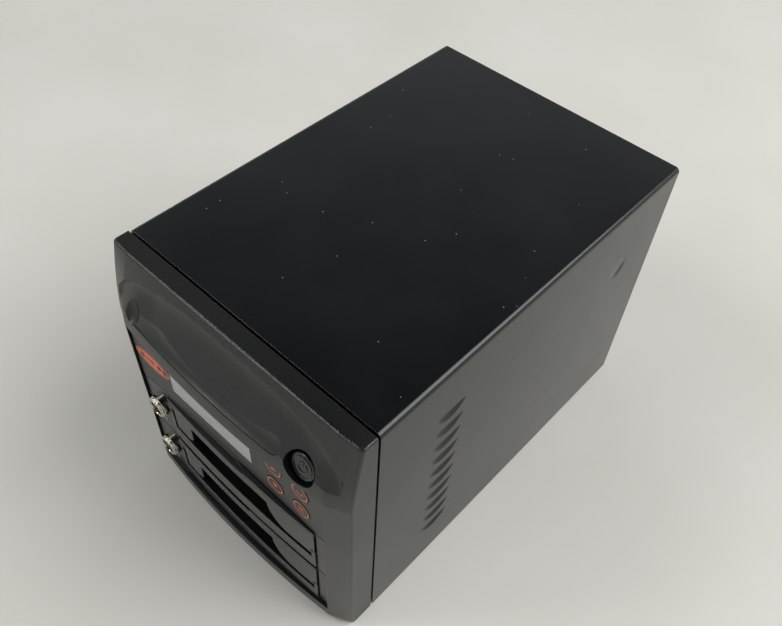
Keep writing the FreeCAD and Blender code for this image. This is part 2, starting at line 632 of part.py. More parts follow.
def button_rod(radius, start, end):
    """A cylinder on the button's axis, from start to end measured inward from the header's face."""
    lean = math.radians(size("button_lean"))
    inward = Vector(0, math.cos(lean), -math.sin(lean))
    face = Vector(size("button_x"), -size("button_reach"), size("button_height"))
    return Part.makeCylinder(radius, end - start, face + inward * start, inward)


def make_button():
    length, crown = size("button_length"), 0.8
    cap = button_rod(size("button_radius"), 0.0, length)
    rim = [edge for edge in cap.Edges if edge.BoundBox.YMax < cap.BoundBox.YMin + 5 and edge.Closed]
    cap = cap.makeFillet(crown, rim[:1])
    stem = button_rod(size("stem_radius"), length - 1, length + size("stem_length"))
    subpart("power_button", from_shape(cap.fuse(stem).removeSplitter()))

    # The switch sits in the sleeve's rear end, on a flange against it. The stem rests in its bore.
    start, seat = length + size("stem_length") - 1.0, size("boss_length")
    side, tall = size("switch_width"), size("switch_tall")
    span = 2 * (size("button_radius") + size("button_play") + size("boss_wall"))
    case = Part.makeBox(side, seat - start + 0.1, tall, Vector(-side / 2, start, -tall / 2))
    flange = Part.makeBox(span, 1.5, tall, Vector(-span / 2, seat, -tall / 2))
    tags = [Part.makeBox(0.8, 4.5, 2.8, Vector(x - 0.4, seat + 1.4, -1.4)) for x in (-2.5, 2.5)]
    case = case.fuse([flange, *tags]).removeSplitter()
    case.rotate(Vector(), Vector(1, 0, 0), -size("button_lean"))
    case.translate(Vector(size("button_x"), -size("button_reach"), size("button_height")))
    bore = button_rod(size("stem_radius") + size("button_play"), start - 1, seat + size("button_travel") + 1)
    subpart("power_switch", from_shape(case.cut(bore)))


# ---------------------------------------------------------------- control panel

KEYS = {"escape_key": (1, 0), "down_key": (0, 0), "enter_key": (1, 1), "up_key": (0, 1)}


def key_spot(column, row):
    return f"(key_x + {column} * key_pitch_x)", f"({PANEL_FLOOR} + key_low + {row} * key_pitch_z)"


def make_control_panel():
    front, back = "-face_reach", "(panel_thickness - face_reach)"
    half = "unit_width / 2"
    low, high = f"{PANEL_FLOOR} + unit_gap", f"{PANEL_FLOOR} + unit_gap + unit_height"
    lcd = f"({PANEL_FLOOR} + lcd_height)"
    face = block((f"-{half}", half), (front, back), (low, high))
    rim = cut(block((f"-{half}", half), (back, f"{back} + panel_return"), (low, high)),
              block((f"-{half} + 2", f"{half} - 2"), (f"{back} - 1", f"{back} + panel_return + 1"),
                    (f"{low} + 2", f"{high} - 2")))
    window = block(("lcd_x - lcd_width / 2", "lcd_x + lcd_width / 2"), (f"{front} - 1", f"{back} + 1"),
                   (f"{lcd} - lcd_tall / 2", f"{lcd} + lcd_tall / 2"))
    step = block(("lcd_x - lcd_width / 2 - 2", "lcd_x + lcd_width / 2 + 2"),
                 (f"{front} + lens_thickness", f"{back} + 1"),
                 (f"{lcd} - lcd_tall / 2 - 2", f"{lcd} + lcd_tall / 2 + 2"))
    holes = [rod("Y", key_spot(*place), (f"{front} - 1", f"{back} + 1"), "key_radius + key_play")
             for place in KEYS.values()]
    posts = [rod("Y", (x, z), (f"{back} - 0.5", f"{back} + keyboard_gap"), "2")
             for x in ("key_x - 10", "key_x + key_pitch_x + 10")
             for z in (f"{PANEL_FLOOR} + key_low", f"{PANEL_FLOOR} + key_low + key_pitch_z")]
    subpart("control_panel", join(cut(join(face, rim), window, step, *holes), *posts))

    play = "lens_play"
    lens = block((f"lcd_x - lcd_width / 2 + {play}", f"lcd_x + lcd_width / 2 - {play}"),
                 (front, f"{front} + lens_thickness"),
                 (f"{lcd} - lcd_tall / 2 + {play}", f"{lcd} + lcd_tall / 2 - {play}"))
    ledge = block(("lcd_x - lcd_width / 2 - 1.9", "lcd_x + lcd_width / 2 + 1.9"),
                  (f"{front} + lens_thickness", back),
                  (f"{lcd} - lcd_tall / 2 - 1.9", f"{lcd} + lcd_tall / 2 + 1.9"))
    subpart("display_window", join(lens, ledge))

    module = block(("lcd_x - module_width / 2", "lcd_x + module_width / 2"), (back, f"{back} + module_depth"),
                   (f"{lcd} - module_tall / 2", f"{lcd} + module_tall / 2"))
    board = block(("lcd_x - module_width / 2 - 3", "lcd_x + module_width / 2 - 0.5"),
                  (f"{back} + module_depth", f"{back} + module_depth + board"),
                  (f"{lcd} - module_tall / 2 - 2", f"{lcd} + module_tall / 2 + 2"))
    subpart("display_module", join(module, board))

    keyboard = f"({back} + keyboard_gap)"
    for label, place in KEYS.items():
        x, z = key_spot(*place)
        cap = rod("Y", (x, z), (f"{front} - key_proud", f"{back} + 0.6"), "key_radius")
        flange = rod("Y", (x, z), (f"{back} + 0.3", f"{back} + 0.3 + key_flange"), "key_radius + 1.4")
        stem = rod("Y", (x, z), (f"{back} + key_flange", f"{keyboard} - 1.2 - key_travel"), "key_stem")
        subpart(label, join(cap, flange, stem))
    plate = block(("key_x - 12", "key_x + key_pitch_x + 12"), (keyboard, f"{keyboard} + board"),
                  (f"{PANEL_FLOOR} + 4.5", f"{high} - 3"))
    domes = [block((f"{key_spot(*place)[0]} - 3", f"{key_spot(*place)[0]} + 3"),
                   (f"{keyboard} - 1", keyboard),
                   (f"{key_spot(*place)[1]} - 3", f"{key_spot(*place)[1]} + 3")) for place in KEYS.values()]
    subpart("keypad_board", join(plate, *domes))


def make_controller():
    floor = PANEL_FLOOR
    half = "controller_width / 2"
    start = "(panel_thickness - face_reach)"
    body = sheet_body("XZ_Plane", [
        (f"-{half}", floor), (half, floor), (half, f"{floor} + 26"),
        (f"{half} - tray_sheet", f"{floor} + 26"),
        (f"{half} - tray_sheet", f"{floor} + tray_sheet"), (f"-{half} + tray_sheet", f"{floor} + tray_sheet"),
        (f"-{half} + tray_sheet", f"{floor} + 26"), (f"-{half}", f"{floor} + 26")],
        f"{start} + panel_return", "controller_depth - panel_return")
    pierce(body, "YZ_Plane", circles=[(y, z, "screw_radius") for y, z in rack_screw_spots()[-2:]])
    subpart("controller_tray", body)

    side = "controller_board_size"
    top = f"({floor} + tray_sheet + standoff)"
    near = f"({start} + panel_return + board_setback)"
    far = f"({near} + {side})"
    plate = block((f"-{side} / 2", f"{side} / 2"), (near, f"{near} + {side}"), (top, f"{top} + board"))
    base = f"{top} + board"
    chip = block(("-chip_side / 2", "chip_side / 2"), (f"{near} + 40", f"{near} + 40 + chip_side"),
                 (base, f"{base} + chip_height"))
    sockets = [block((f"{x} - data_socket_width / 2", f"{x} + data_socket_width / 2"),
                     (f"{far} - data_socket_length", far), (base, f"{base} + data_socket_height"))
               for x in ("-35", "0")]
    plug = block(("34", "34 + plug_width"), (f"{far} - plug_length", far), (base, f"{base} + plug_height"))
    cells = [rod("Z", (x, f"{near} + 22"), (base, f"{base} + cell_height"), "cell_radius")
             for x in ("-44", "-34", "30")]
    subpart("controller_board", join(plate, chip, *sockets, plug, *cells))
    posts = [rod("Z", (f"{sign}({side} / 2 - 5)", y), (f"{floor} + tray_sheet", top), "standoff_radius")
             for sign in ("", "-") for y in (f"{near} + 5", f"{near} + {side} - 5")]
    subpart("board_standoffs", group(*posts))


# ---------------------------------------------------------------- drive racks

def bulge(floor):
    """The big upright drum whose skin is the bulged front of tray and handle."""
    span = "(tray_right + tray_left)"
    radius = f"(({span} ^ 2 / 4 + tray_bulge ^ 2) / (2 * tray_bulge))"
    return rod("Z", (TRAY_MIDDLE, f"-tray_end_reach - tray_bulge + {radius}"),
               (f"{floor} - 5", f"{floor} + 60"), radius)


def make_rack(name, floor):
    low, high = f"({floor} + unit_gap)", f"({floor} + unit_gap + unit_height)"
    half = "unit_width / 2"
    back = "(frame_thickness - face_reach)"

    # Shell: a folded box open at the front, with two guides for the tray and a rear flange.
    shell_half = f"({half} - 0.3)"
    outer = block((f"-{shell_half}", shell_half), (back, "rack_depth"), (low, f"{high} - 0.4"))
    inner = block((f"-{shell_half} + shell_wall", f"{shell_half} - shell_wall"),
                  (f"{back} - 1", "rack_depth - shell_wall"),
                  (f"{low} + shell_wall", f"{high} - 0.4 - shell_wall"))
    socket = block((f"{TRAY_MIDDLE} - socket_width / 2 - 6", f"{TRAY_MIDDLE} + socket_width / 2 + 6"),
                   ("rack_depth - 2 * shell_wall", "rack_depth + 1"), (f"{floor} + 8", f"{floor} + 32"))
    left, right = "-tray_left - tray_gap", "tray_right + tray_gap"
    guides = [block((f"{left} - guide_wall", left), ("4", "rack_depth - 12"),
                    (f"{low} + 1", f"{floor} + 15")),
              block((right, f"{right} + guide_wall"), ("4", "rack_depth - 12"),
                    (f"{low} + 1", f"{floor} + 15"))]
    ribs = [block((f"{TRAY_MIDDLE} {a} 40 - 2", f"{TRAY_MIDDLE} {a} 40 + 2"),
                  (f"{back} + 4", "rack_depth - 14"),
                  (f"{low} + 1", f"{floor} + tray_base - 0.3")) for a in "+-"]
    holes = [rod("X", (y, f"{floor} + 10"), (f"-{half} - 1", f"{half} + 1"), "screw_radius")
             for y in ("20", "cage_depth - 50")]
    subpart(f"{name}_rack_shell", join(cut(outer, inner, socket, *holes), *guides, *ribs))

    # Front frame: a moulded plate with the tray's opening, the lock's hole and the light's slot.
    face = block((f"-{half}", half), ("-face_reach", back), (low, high))
    mouth = block((left, right), ("-face_reach - 9", f"{back} + 1"),
                  (f"{floor} + tray_base - tray_gap", f"{floor} + tray_top + tray_gap"))
    lock_hole = rod("Y", ("-lock_x", f"{floor} + lock_height"), ("-face_reach - 1", f"{back} + 1"),
                    "lock_radius")
    slot = block(("-light_x - light_width / 2", "-light_x + light_width / 2"),
                 ("-face_reach - 1", f"{back} + 1"),
                 (f"{floor} + light_height - light_tall / 2", f"{floor} + light_height + light_tall / 2"))
    brow = overlap(block(("brow_left", "tray_right"), ("-face_reach - brow_reach", "-face_reach + 1"),
                         (f"{floor} + tray_top + tray_gap", high)), bulge(floor))
    sweep = rod("Z", ("brow_left", "-face_reach - brow_reach - 12"), (f"{floor} + 30", f"{floor} + 50"), "15")
    subpart(f"{name}_rack_frame", join(cut(face, mouth, lock_hole, slot), cut(brow, sweep)))

    subpart(f"{name}_light_pipe", group(block(
        ("-light_x - light_width / 2 + light_play", "-light_x + light_width / 2 - light_play"),
        ("-face_reach - 0.2", "light_length - face_reach"),
        (f"{floor} + light_height - light_tall / 2 + light_play",
         f"{floor} + light_height + light_tall / 2 - light_play"))))

    make_lock(name, floor)
    make_tray(name, floor)
    make_handle(name, floor)

    # Backplane: a board inside the rear flange, with the drive's socket on its front.
    board_back = "(rack_depth - shell_wall)"
    board = block((f"{TRAY_MIDDLE} - 45", f"{TRAY_MIDDLE} + 45"), (f"{board_back} - board", board_back),
                  (f"{low} + shell_wall + 1", f"{high} - shell_wall - 2"))
    plug = block((f"{TRAY_MIDDLE} - socket_width / 2", f"{TRAY_MIDDLE} + socket_width / 2"),
                 (f"{board_back} - board - socket_depth", f"{board_back} - board"),
                 (f"{floor} + 7", f"{floor} + 7 + socket_tall"))
    tongue = block((f"{TRAY_MIDDLE} - socket_width / 2 + 3", f"{TRAY_MIDDLE} + socket_width / 2 - 3"),
                   (f"{board_back} - board - socket_depth - 1", f"{board_back} - board - 2"),
                   (f"{floor} + 9.4", f"{floor} + 5 + socket_tall"))
    port = block((f"{TRAY_MIDDLE} - 8", f"{TRAY_MIDDLE} + 8"), (board_back, f"{board_back} + 8"),
                 (f"{floor} + 16", f"{floor} + 24"))
    subpart(f"{name}_backplane", join(cut(join(board, plug), tongue), port))


def make_lock(name, floor):
    spot = ("-lock_x", f"({floor} + lock_height)")
    front = "(-face_reach - lock_reach)"
    back = f"({front} + lock_length)"
    tube = join(rod("Y", spot, (f"{front} + 0.8", "-face_reach"), "lock_flange"),
                taper("Y", spot, (front, f"{front} + 0.8"), "lock_flange - 0.7", "lock_flange"),
                rod("Y", spot, ("-face_reach", back), "lock_radius"))
    bore = rod("Y", spot, (f"{front} - 1", f"{back} + 1"), "core_radius + core_play")
    subpart(f"{name}_lock_barrel", cut(tube, bore))

    plug = rod("Y", spot, (f"{front} + 0.4", f"{back} + cam_gap"), "core_radius")
    ring = cut(rod("Y", spot, (f"{front} - 1", f"{front} + 5"), "core_radius - 0.7"),
               rod("Y", spot, (f"{front} - 1", f"{front} + 5"), "core_radius - 2.1"))
    cam_y = (f"{back} + cam_gap", f"{back} + cam_gap + cam_thickness")
    cam = join(rod("Y", spot, cam_y, "core_radius + 0.6"),
               block((f"{spot[0]} - cam_width / 2", f"{spot[0]} + cam_width / 2"), cam_y,
                     (spot[1], f"{spot[1]} + cam_length")))
    subpart(f"{name}_lock_core", join(cut(plug, ring), cam))


def make_tray(name, floor):
    base = f"({floor} + tray_base + 0.2)"
    left, right = "(1 - tray_left)", "(tray_right - 1)"
    start = "(tray_wall - recess_reach)"
    body = sheet_body("XZ_Plane", [
        (left, base), (right, base), (right, f"{base} + rail_height"),
        (f"{right} - tray_sheet", f"{base} + rail_height"),
        (f"{right} - tray_sheet", f"{base} + tray_sheet"), (f"{left} + tray_sheet", f"{base} + tray_sheet"),
        (f"{left} + tray_sheet", f"{base} + rail_height"),
        (left, f"{base} + rail_height")], start, "tray_length")
    pierce(body, "XY_Plane", circles=drive_holes(), windows=[
        frame_corners((f"{TRAY_MIDDLE} - 36", f"{TRAY_MIDDLE} + 36"), (f"{y}", f"{y} + 20"))
        for y in (20, 52, 84)])
    catch = f"(-face_reach - lock_reach + lock_length + 2 * cam_gap + cam_thickness)"
    tab = block((left, f"{left} + tray_sheet"), (catch, f"{catch} + 10"),
                (f"{base} + rail_height - 0.5", f"{floor} + lock_height + cam_width / 2 + 1"))
    subpart(f"{name}_tray", join(body, tab))

    front_y = "-tray_end_reach - tray_bulge - 1"
    wall = block(("-tray_left", "tray_right"), ("-recess_reach", start),
                 (f"{floor} + tray_base", f"{floor} + tray_top"))
    strip = block(("-tray_left", "tray_right"), (front_y, "-recess_reach + 0.1"),
                  (f"{floor} + tray_base", f"{floor} + strip_top"))
    post = block(("-tray_left", "-tray_left + post_width"), (front_y, "-recess_reach + 0.1"),
                 (f"{floor} + strip_top - 0.1", f"{floor} + tray_top - bar_height - handle_play"))
    cheek = block(("tray_right - cheek", "tray_right"), (front_y, "-recess_reach + 0.1"),
                  (f"{floor} + strip_top - 0.1", f"{floor} + cheek_top"))
    bore = rod("X", (PIVOT_Y, f"{floor} + pivot_height"), ("-tray_left - 1", "tray_right + 1"), "pin_radius")
    moulding = overlap(join(wall, strip, post, cheek), bulge(floor))
    vents = [block((f"{TRAY_MIDDLE} - 24 + {i} * 10", f"{TRAY_MIDDLE} - 17 + {i} * 10"),
                   ("-recess_reach - 1", f"{start} + 1"),
                   (f"{floor} + 18", f"{floor} + 22")) for i in range(5)]
    subpart(f"{name}_tray_front", cut(moulding, bore, *vents))


def drive_holes():
    rear = "(tray_wall - recess_reach + 6 + drive_length - drive_hole_rear)"
    return [(f"{TRAY_MIDDLE} {a} drive_hole_x / 2", y, "drive_hole_radius")
            for a in "+-" for y in (rear, f"{rear} - drive_hole_y")]


def make_handle(name, floor):
    pivot = (PIVOT_Y, f"({floor} + pivot_height)")
    top = f"({floor} + tray_top)"
    bar_low = f"({top} - bar_height)"
    front_y = "-tray_end_reach - tray_bulge - 1"
    back = "-handle_back"
    left = "(-tray_left + handle_end_play)"
    right = "(tray_right - handle_end_play)"
    pad_left = "(-tray_left + post_width + slit)"
    pad_right = f"({pad_left} + pad_width)"
    bar = block((left, right), (front_y, back), (bar_low, top))
    pad = join(block((pad_left, f"{pad_right} - pad_corner"), (front_y, back),
                     (pivot[1], bar_low + " + 0.1")),
               block((f"{pad_right} - pad_corner - 0.1", pad_right), (front_y, back),
                     (f"{pivot[1]} + pad_corner", bar_low + " + 0.1")),
               overlap(rod("Y", (f"{pad_right} - pad_corner", f"{pivot[1]} + pad_corner"), (front_y, back),
                           "pad_corner"),
                       block((f"{pad_right} - pad_corner - 0.2", f"{pad_right} + 1"), (front_y, back),
                             (pivot[1], f"{pivot[1]} + pad_corner + 0.2"))))
    # The fin's lower left corner is one large bevelled round.
    hub = ("fin_left + fin_radius", f"{bar_low} + 0.4")
    fin = overlap(block(("fin_left", right), (front_y, back), (pivot[1], f"{bar_low} + 0.1")),
                  join(block((hub[0], right), (front_y, back), (pivot[1], f"{bar_low} + 0.1")),
                       rod("Y", hub, ("-tray_end_reach - tray_bulge + fin_bevel", back), "fin_radius"),
                       taper("Y", hub, ("-tray_end_reach - tray_bulge",
                                        "-tray_end_reach - tray_bulge + fin_bevel"),
                             "fin_radius - fin_bevel", "fin_radius")))
    knuckles = [rod("X", pivot, (pad_left, f"{pad_right} - pad_corner"), "knuckle"),
                rod("X", pivot, ("fin_left + fin_radius", "tray_right - cheek - handle_play"), "knuckle")]
    notch = block(("tray_right - cheek - handle_play", "tray_right + 1"), (front_y, f"{back} + 1"),
                  (f"{pivot[1]} - 4", f"{floor} + cheek_top + notch_play"))
    bores = rod("X", pivot, ("-tray_left - 1", f"{pad_left} + 6"), "pin_radius + pin_play")
    bores_right = rod("X", pivot, ("tray_right - cheek - 6", "tray_right + 1"), "pin_radius + pin_play")
    solid = overlap(join(bar, pad, fin, *knuckles), bulge(floor))
    subpart(f"{name}_handle", cut(solid, notch, bores, bores_right))
    subpart(f"{name}_handle_pins", group(
        rod("X", pivot, ("-tray_left + 0.5", f"{pad_left} + 5"), "pin_radius"),
        rod("X", pivot, ("tray_right - cheek - 5", "tray_right - 0.5"), "pin_radius")))


# ---------------------------------------------------------------- power supply and fans

def make_supply():
    low, high = f"({SUPPLY_X} - supply_width / 2)", f"({SUPPLY_X} + supply_width / 2)"
    front = f"({SUPPLY_BACK} - supply_depth)"
    floor = SUPPLY_FLOOR
    wall = "supply_sheet"
    case = cut(block((low, high), (front, SUPPLY_BACK), (floor, f"{floor} + supply_height")),
               block((f"{low} + {wall}", f"{high} - {wall}"),
                     (f"{front} + {wall}", f"{SUPPLY_BACK} - {wall}"),
                     (f"{floor} + {wall}", f"{floor} + supply_height - {wall}")))
    inlet, rocker = supply_spot("inlet_x", "inlet_height"), supply_spot("inlet_x", "rocker_height")
    holes = [hole_block(inlet, "inlet_width", "inlet_tall"),
             hole_block(rocker, "rocker_width", "rocker_tall")]
    fan = supply_spot("small_fan_x", "supply_height / 2")
    holes.append(rod("Y", fan, (f"{SUPPLY_BACK} - 3", f"{SUPPLY_BACK} + 1"), "small_fan / 2 - fan_ring"))
    holes += [rod("Y", spot, (f"{SUPPLY_BACK} - 3", f"{SUPPLY_BACK} + 1"), "screw_radius")
              for spot in fan_screw_spots("small_fan", *fan)]
    slots = [block((f"{low} + 10 + {i} * 7", f"{low} + 14 + {i} * 7"), (f"{front} - 1", f"{front} + 2"),
                   (f"{floor} + 8", f"{floor} + 32")) for i in range(6)]
    grommet = rod("Y", (f"{high} - 12", f"{floor} + 20"), (f"{front} - 1", f"{front} + 2"),
                  "power_cable + 1.5")
    guard = [cut(rod("Y", fan, (f"{SUPPLY_BACK} - {wall}", SUPPLY_BACK), f"{r} + 0.7"),
                 rod("Y", fan, (f"{SUPPLY_BACK} - 2", f"{SUPPLY_BACK} + 1"), f"{r} - 0.7")) for r in (6, 11)]
    spokes = [block((f"{fan[0]} - small_fan / 2 + 1", f"{fan[0]} + small_fan / 2 - 1"),
                    (f"{SUPPLY_BACK} - {wall}", SUPPLY_BACK),
                    (f"{fan[1]} - 0.7", f"{fan[1]} + 0.7")),
              block((f"{fan[0]} - 0.7", f"{fan[0]} + 0.7"), (f"{SUPPLY_BACK} - {wall}", SUPPLY_BACK),
                    (f"{fan[1]} - small_fan / 2 + 1", f"{fan[1]} + small_fan / 2 - 1"))]
    subpart("supply_case", join(cut(case, *holes, *slots, grommet), *guard, *spokes))

    # The board stands on four studs and carries a transformer, two heat sinks and four capacitors.
    board_z = f"({floor} + supply_stud)"
    plate = block((f"{low} + 2", f"{high} - 2"), (f"{front} + 4", f"{front} + supply_board_length + 4"),
                  (board_z, f"{board_z} + board"))
    top = f"{board_z} + board"

    def upright(x, width, y, length, tall):
        return block((f"{low} + {x}", f"{low} + {x} + {width}"),
                     (f"{front} + {y}", f"{front} + {y} + {length}"), (top, f"{top} + {tall}"))
    transformer = upright(24, "coil_width", 44, "coil_length", "coil_height")
    sinks = [upright(x, "sink_thickness", 20, "sink_length", "sink_height") for x in (8, 66)]
    cans = [rod("Z", (f"{low} + {x}", f"{front} + {y}"), (top, f"{top} + {kind}_height"), f"{kind}_radius")
            for x, y, kind in ((40, 92, "can"), (24, 24, "small_can"), (38, 24, "small_can"),
                               (52, 24, "small_can"))]
    studs = [rod("Z", (f"{low} + {x}", f"{front} + {y}"), (f"{floor} + {wall}", board_z),
                 "supply_stud_radius")
             for x in (8, 73) for y in (10, 112)]
    subpart("supply_board", join(plate, transformer, *sinks, *cans, *studs))

    # Mains inlet: a socket with three blades, whose flange seats on the outside of the case.
    back = SUPPLY_BACK
    body = join(hole_block(inlet, "inlet_width - 0.2", "inlet_tall - 0.2", (f"{back} - inlet_depth", back)),
                hole_block(inlet, "inlet_width + 2 * inlet_rim", "inlet_tall + 2 * inlet_rim",
                           (back, f"{back} + inlet_flange")))
    cavity_y = (f"{back} + inlet_flange - socket_hole_depth", f"{back} + inlet_flange + 1")
    body = cut(body, hole_block(inlet, "socket_hole_width", "socket_hole_tall", cavity_y))
    blades = [block((f"{inlet[0]} {x} - 1", f"{inlet[0]} {x} + 1"),
                    (f"{cavity_y[0]} - 0.5", f"{cavity_y[0]} + blade_length"),
                    (f"{inlet[1]} {z} - 2", f"{inlet[1]} {z} + 2"))
              for x, z in (("- 7", "- 2"), ("+ 0", "+ 2"), ("+ 7", "- 2"))]
    subpart("mains_inlet", join(body, *blades))

    # Rocker switch: a frame snapped into the case, and a rocker turning in it.
    frame = join(hole_block(rocker, "rocker_width - 0.2", "rocker_tall - 0.2", (f"{back} - 13", back)),
                 hole_block(rocker, "rocker_width + 2", "rocker_tall + 1.6", (back, f"{back} + 1.2")))
    well = hole_block(rocker, "rocker_width - 3", "rocker_tall - 3", (f"{back} - 9", f"{back} + 2"))
    pivot = rod("Z", (rocker[0], back),
                (f"{rocker[1]} - rocker_tall / 2 + 0.1", f"{rocker[1]} + rocker_tall / 2 - 0.1"), "0.95")
    subpart("rocker_frame", cut(frame, well, pivot))
    half = size("rocker_width") / 2 - 1.5 - size("rocker_play")
    back_mm = size("case_depth") - 2 * size("steel")
    crest = 0.9 + half * math.tan(math.radians(size("rocker_tilt")))
    profile = [Vector(x, y, 0) for x, y in
               ((-half, -2.4), (half, -2.4), (half, crest), (0, 0.9), (-half, crest))]
    tall = size("rocker_tall") - 3 - 2 * size("rocker_play")
    paddle = Part.Face(Part.makePolygon(profile + profile[:1])).extrude(Vector(0, 0, tall))
    axle = Part.makeCylinder(0.9, tall + 2.4, Vector(0, 0, -1.2))
    paddle = paddle.fuse(axle)
    paddle.rotate(Vector(), Vector(0, 0, 1), size("rocker_tilt"))
    x, z = rocker_centre()
    paddle.translate(Vector(x, back_mm, z - tall / 2))
    subpart("rocker", from_shape(paddle))

    make_fan("supply", "small_fan", "small_fan_depth", fan, f"({SUPPLY_BACK} - {wall})", "small_hub")
    make_fan("exhaust", "fan_side", "fan_depth", ("0", "fan_height"), REAR, "fan_hub")
    seats = [screw("Y", spot, f"({REAR} + steel)", -1)
             for spot in fan_screw_spots("fan_side", "0", "fan_height")]
    subpart("fan_screws", group(*seats))
    seats = [screw("Y", spot, f"({REAR} + steel)", -1) for spot in fan_screw_spots("small_fan", *fan)]
    subpart("supply_screws", group(*seats))
    subpart("cover_screws", group(*[screw("Y", spot, "case_depth", -1) for spot in cover_screw_spots()]))


def supply_spot(x, z):
    return f"({SUPPLY_X} + {x})", f"({SUPPLY_FLOOR} + {z})"


def rocker_centre():
    top = size("bay_floor") + size("bay_count") * size("bay_pitch") + size("cage_headroom")
    return supply_middle() + size("inlet_x"), top + size("rocker_height")


def supply_middle():
    return size("supply_side") + size("supply_width") / 2 - size("case_width") / 2 + size("steel")


def hole_block(spot, width, tall, span=(f"{SUPPLY_BACK} - 3", f"{SUPPLY_BACK} + 1")):
    return block((f"{spot[0]} - ({width}) / 2", f"{spot[0]} + ({width}) / 2"), span,
                 (f"{spot[1]} - ({tall}) / 2", f"{spot[1]} + ({tall}) / 2"))


def make_fan(name, side, depth, spot, back, hub):
    """An axial fan: a square frame with a bearing on spokes, and a rotor on its shaft."""
    front = f"({back} - {depth})"
    half = f"{side} / 2"
    frame = cut(block((f"{spot[0]} - {half}", f"{spot[0]} + {half}"), (front, back),
                      (f"{spot[1]} - {half}", f"{spot[1]} + {half}")),
                rod("Y", spot, (f"{front} - 1", f"{back} + 1"), f"{half} - fan_ring"),
                *[rod("Y", hole, (f"{front} - 1", f"{back} + 1"), "screw_radius")
                  for hole in fan_screw_spots(side, *spot)])
    spokes = [block((f"{spot[0]} - {half} + 1", f"{spot[0]} + {half} - 1"), (f"{back} - 3", f"{back} - 0.6"),
                    (f"{spot[1]} - 1.5", f"{spot[1]} + 1.5")),
              block((f"{spot[0]} - 1.5", f"{spot[0]} + 1.5"), (f"{back} - 3", f"{back} - 0.6"),
                    (f"{spot[1]} - {half} + 1", f"{spot[1]} + {half} - 1"))]
    plate = rod("Y", spot, (f"{back} - 3", f"{back} - 0.6"), hub)
    tube = rod("Y", spot, (f"{back} - 8", f"{back} - 2"), "shaft_radius + 2")
    bore = rod("Y", spot, (f"{back} - 9", f"{back} - 1.5"), "shaft_radius + shaft_play")
    subpart(f"{name}_fan_frame", cut(join(frame, *spokes, plate, tube), bore))
    doc.recompute()

    centre = Vector(frame.Shape.BoundBox.Center)
    start, end = frame.Shape.BoundBox.YMin + 1.0, frame.Shape.BoundBox.YMax - 3.8
    rotor = Part.makeCylinder(size(hub), end - start, Vector(centre.x, start, centre.z), Vector(0, 1, 0))
    well = Part.makeCylinder(size(hub) - 1.5, end - start - 1.5, Vector(centre.x, start + 1.5, centre.z),
                             Vector(0, 1, 0))
    shaft = Part.makeCylinder(size("shaft_radius"), end - start + 1.2, Vector(centre.x, start + 1, centre.z),
                              Vector(0, 1, 0))
    rotor = rotor.cut(well).fuse(shaft)
    tip = size(side) / 2 - size("fan_ring") - size("tip_gap")
    for i in range(int(size("fan_blades"))):
        blade = fan_blade(size(hub) - 0.6, tip, start + 0.6, end - 0.6)
        blade.rotate(Vector(), Vector(0, 1, 0), i * 360 / size("fan_blades"))
        blade.translate(Vector(centre.x, 0, centre.z))
        rotor = rotor.fuse(blade)
    subpart(f"{name}_fan_rotor", from_shape(rotor.removeSplitter()))


def fan_blade(root, tip, start, end):
    """A blade lofted between flat root and tip sections, pitched more steeply at the tip."""
    sections, middle, thick = [], (start + end) / 2, 0.55
    for radius, pitch, share in ((root, 30, 0.96), (tip, 48, 0.8)):
        rise = (end - start) * share / 2
        run = rise * math.tan(math.radians(pitch))
        level = math.sqrt(radius ** 2 - run ** 2)
        points = [Vector(-run, middle - rise, level), Vector(2 * thick - run, middle - rise, level),
                  Vector(run, middle + rise, level), Vector(run - 2 * thick, middle + rise, level)]
        sections.append(Part.makePolygon(points + points[:1]))
    return Part.makeLoft(sections, True, True)


# ---------------------------------------------------------------- cables

def round_cable(points, radius):
    """A cable of straight runs and tangent arcs through hand-chosen points."""
    edges, here = [], points[0]
    for before, corner, after in zip(points, points[1:], points[2:]):
        inward, outward = (before - corner).normalize(), (after - corner).normalize()
        turn = math.pi - inward.getAngle(outward)
        tangent = 0.45 * min((before - corner).Length, (after - corner).Length)
        bend = tangent / math.tan(turn / 2)
        start, end = corner + inward * tangent, corner + outward * tangent
        middle = (inward + outward).normalize()
        heart = corner + middle * math.hypot(bend, tangent)
        edges += [Part.makeLine(here, start), Part.Arc(start, heart - middle * bend, end).toShape()]
        here = end
    edges.append(Part.makeLine(here, points[-1]))
    path = Part.Wire(edges)
    profile = Part.Wire([Part.makeCircle(radius, points[0], points[1] - points[0])])
    tube = path.makePipeShell([profile], True, True)
    expected = math.pi * radius ** 2 * path.Length
    if abs(tube.Volume - expected) > 0.02 * expected:
        raise RuntimeError("a cable's volume is off")
    return tube


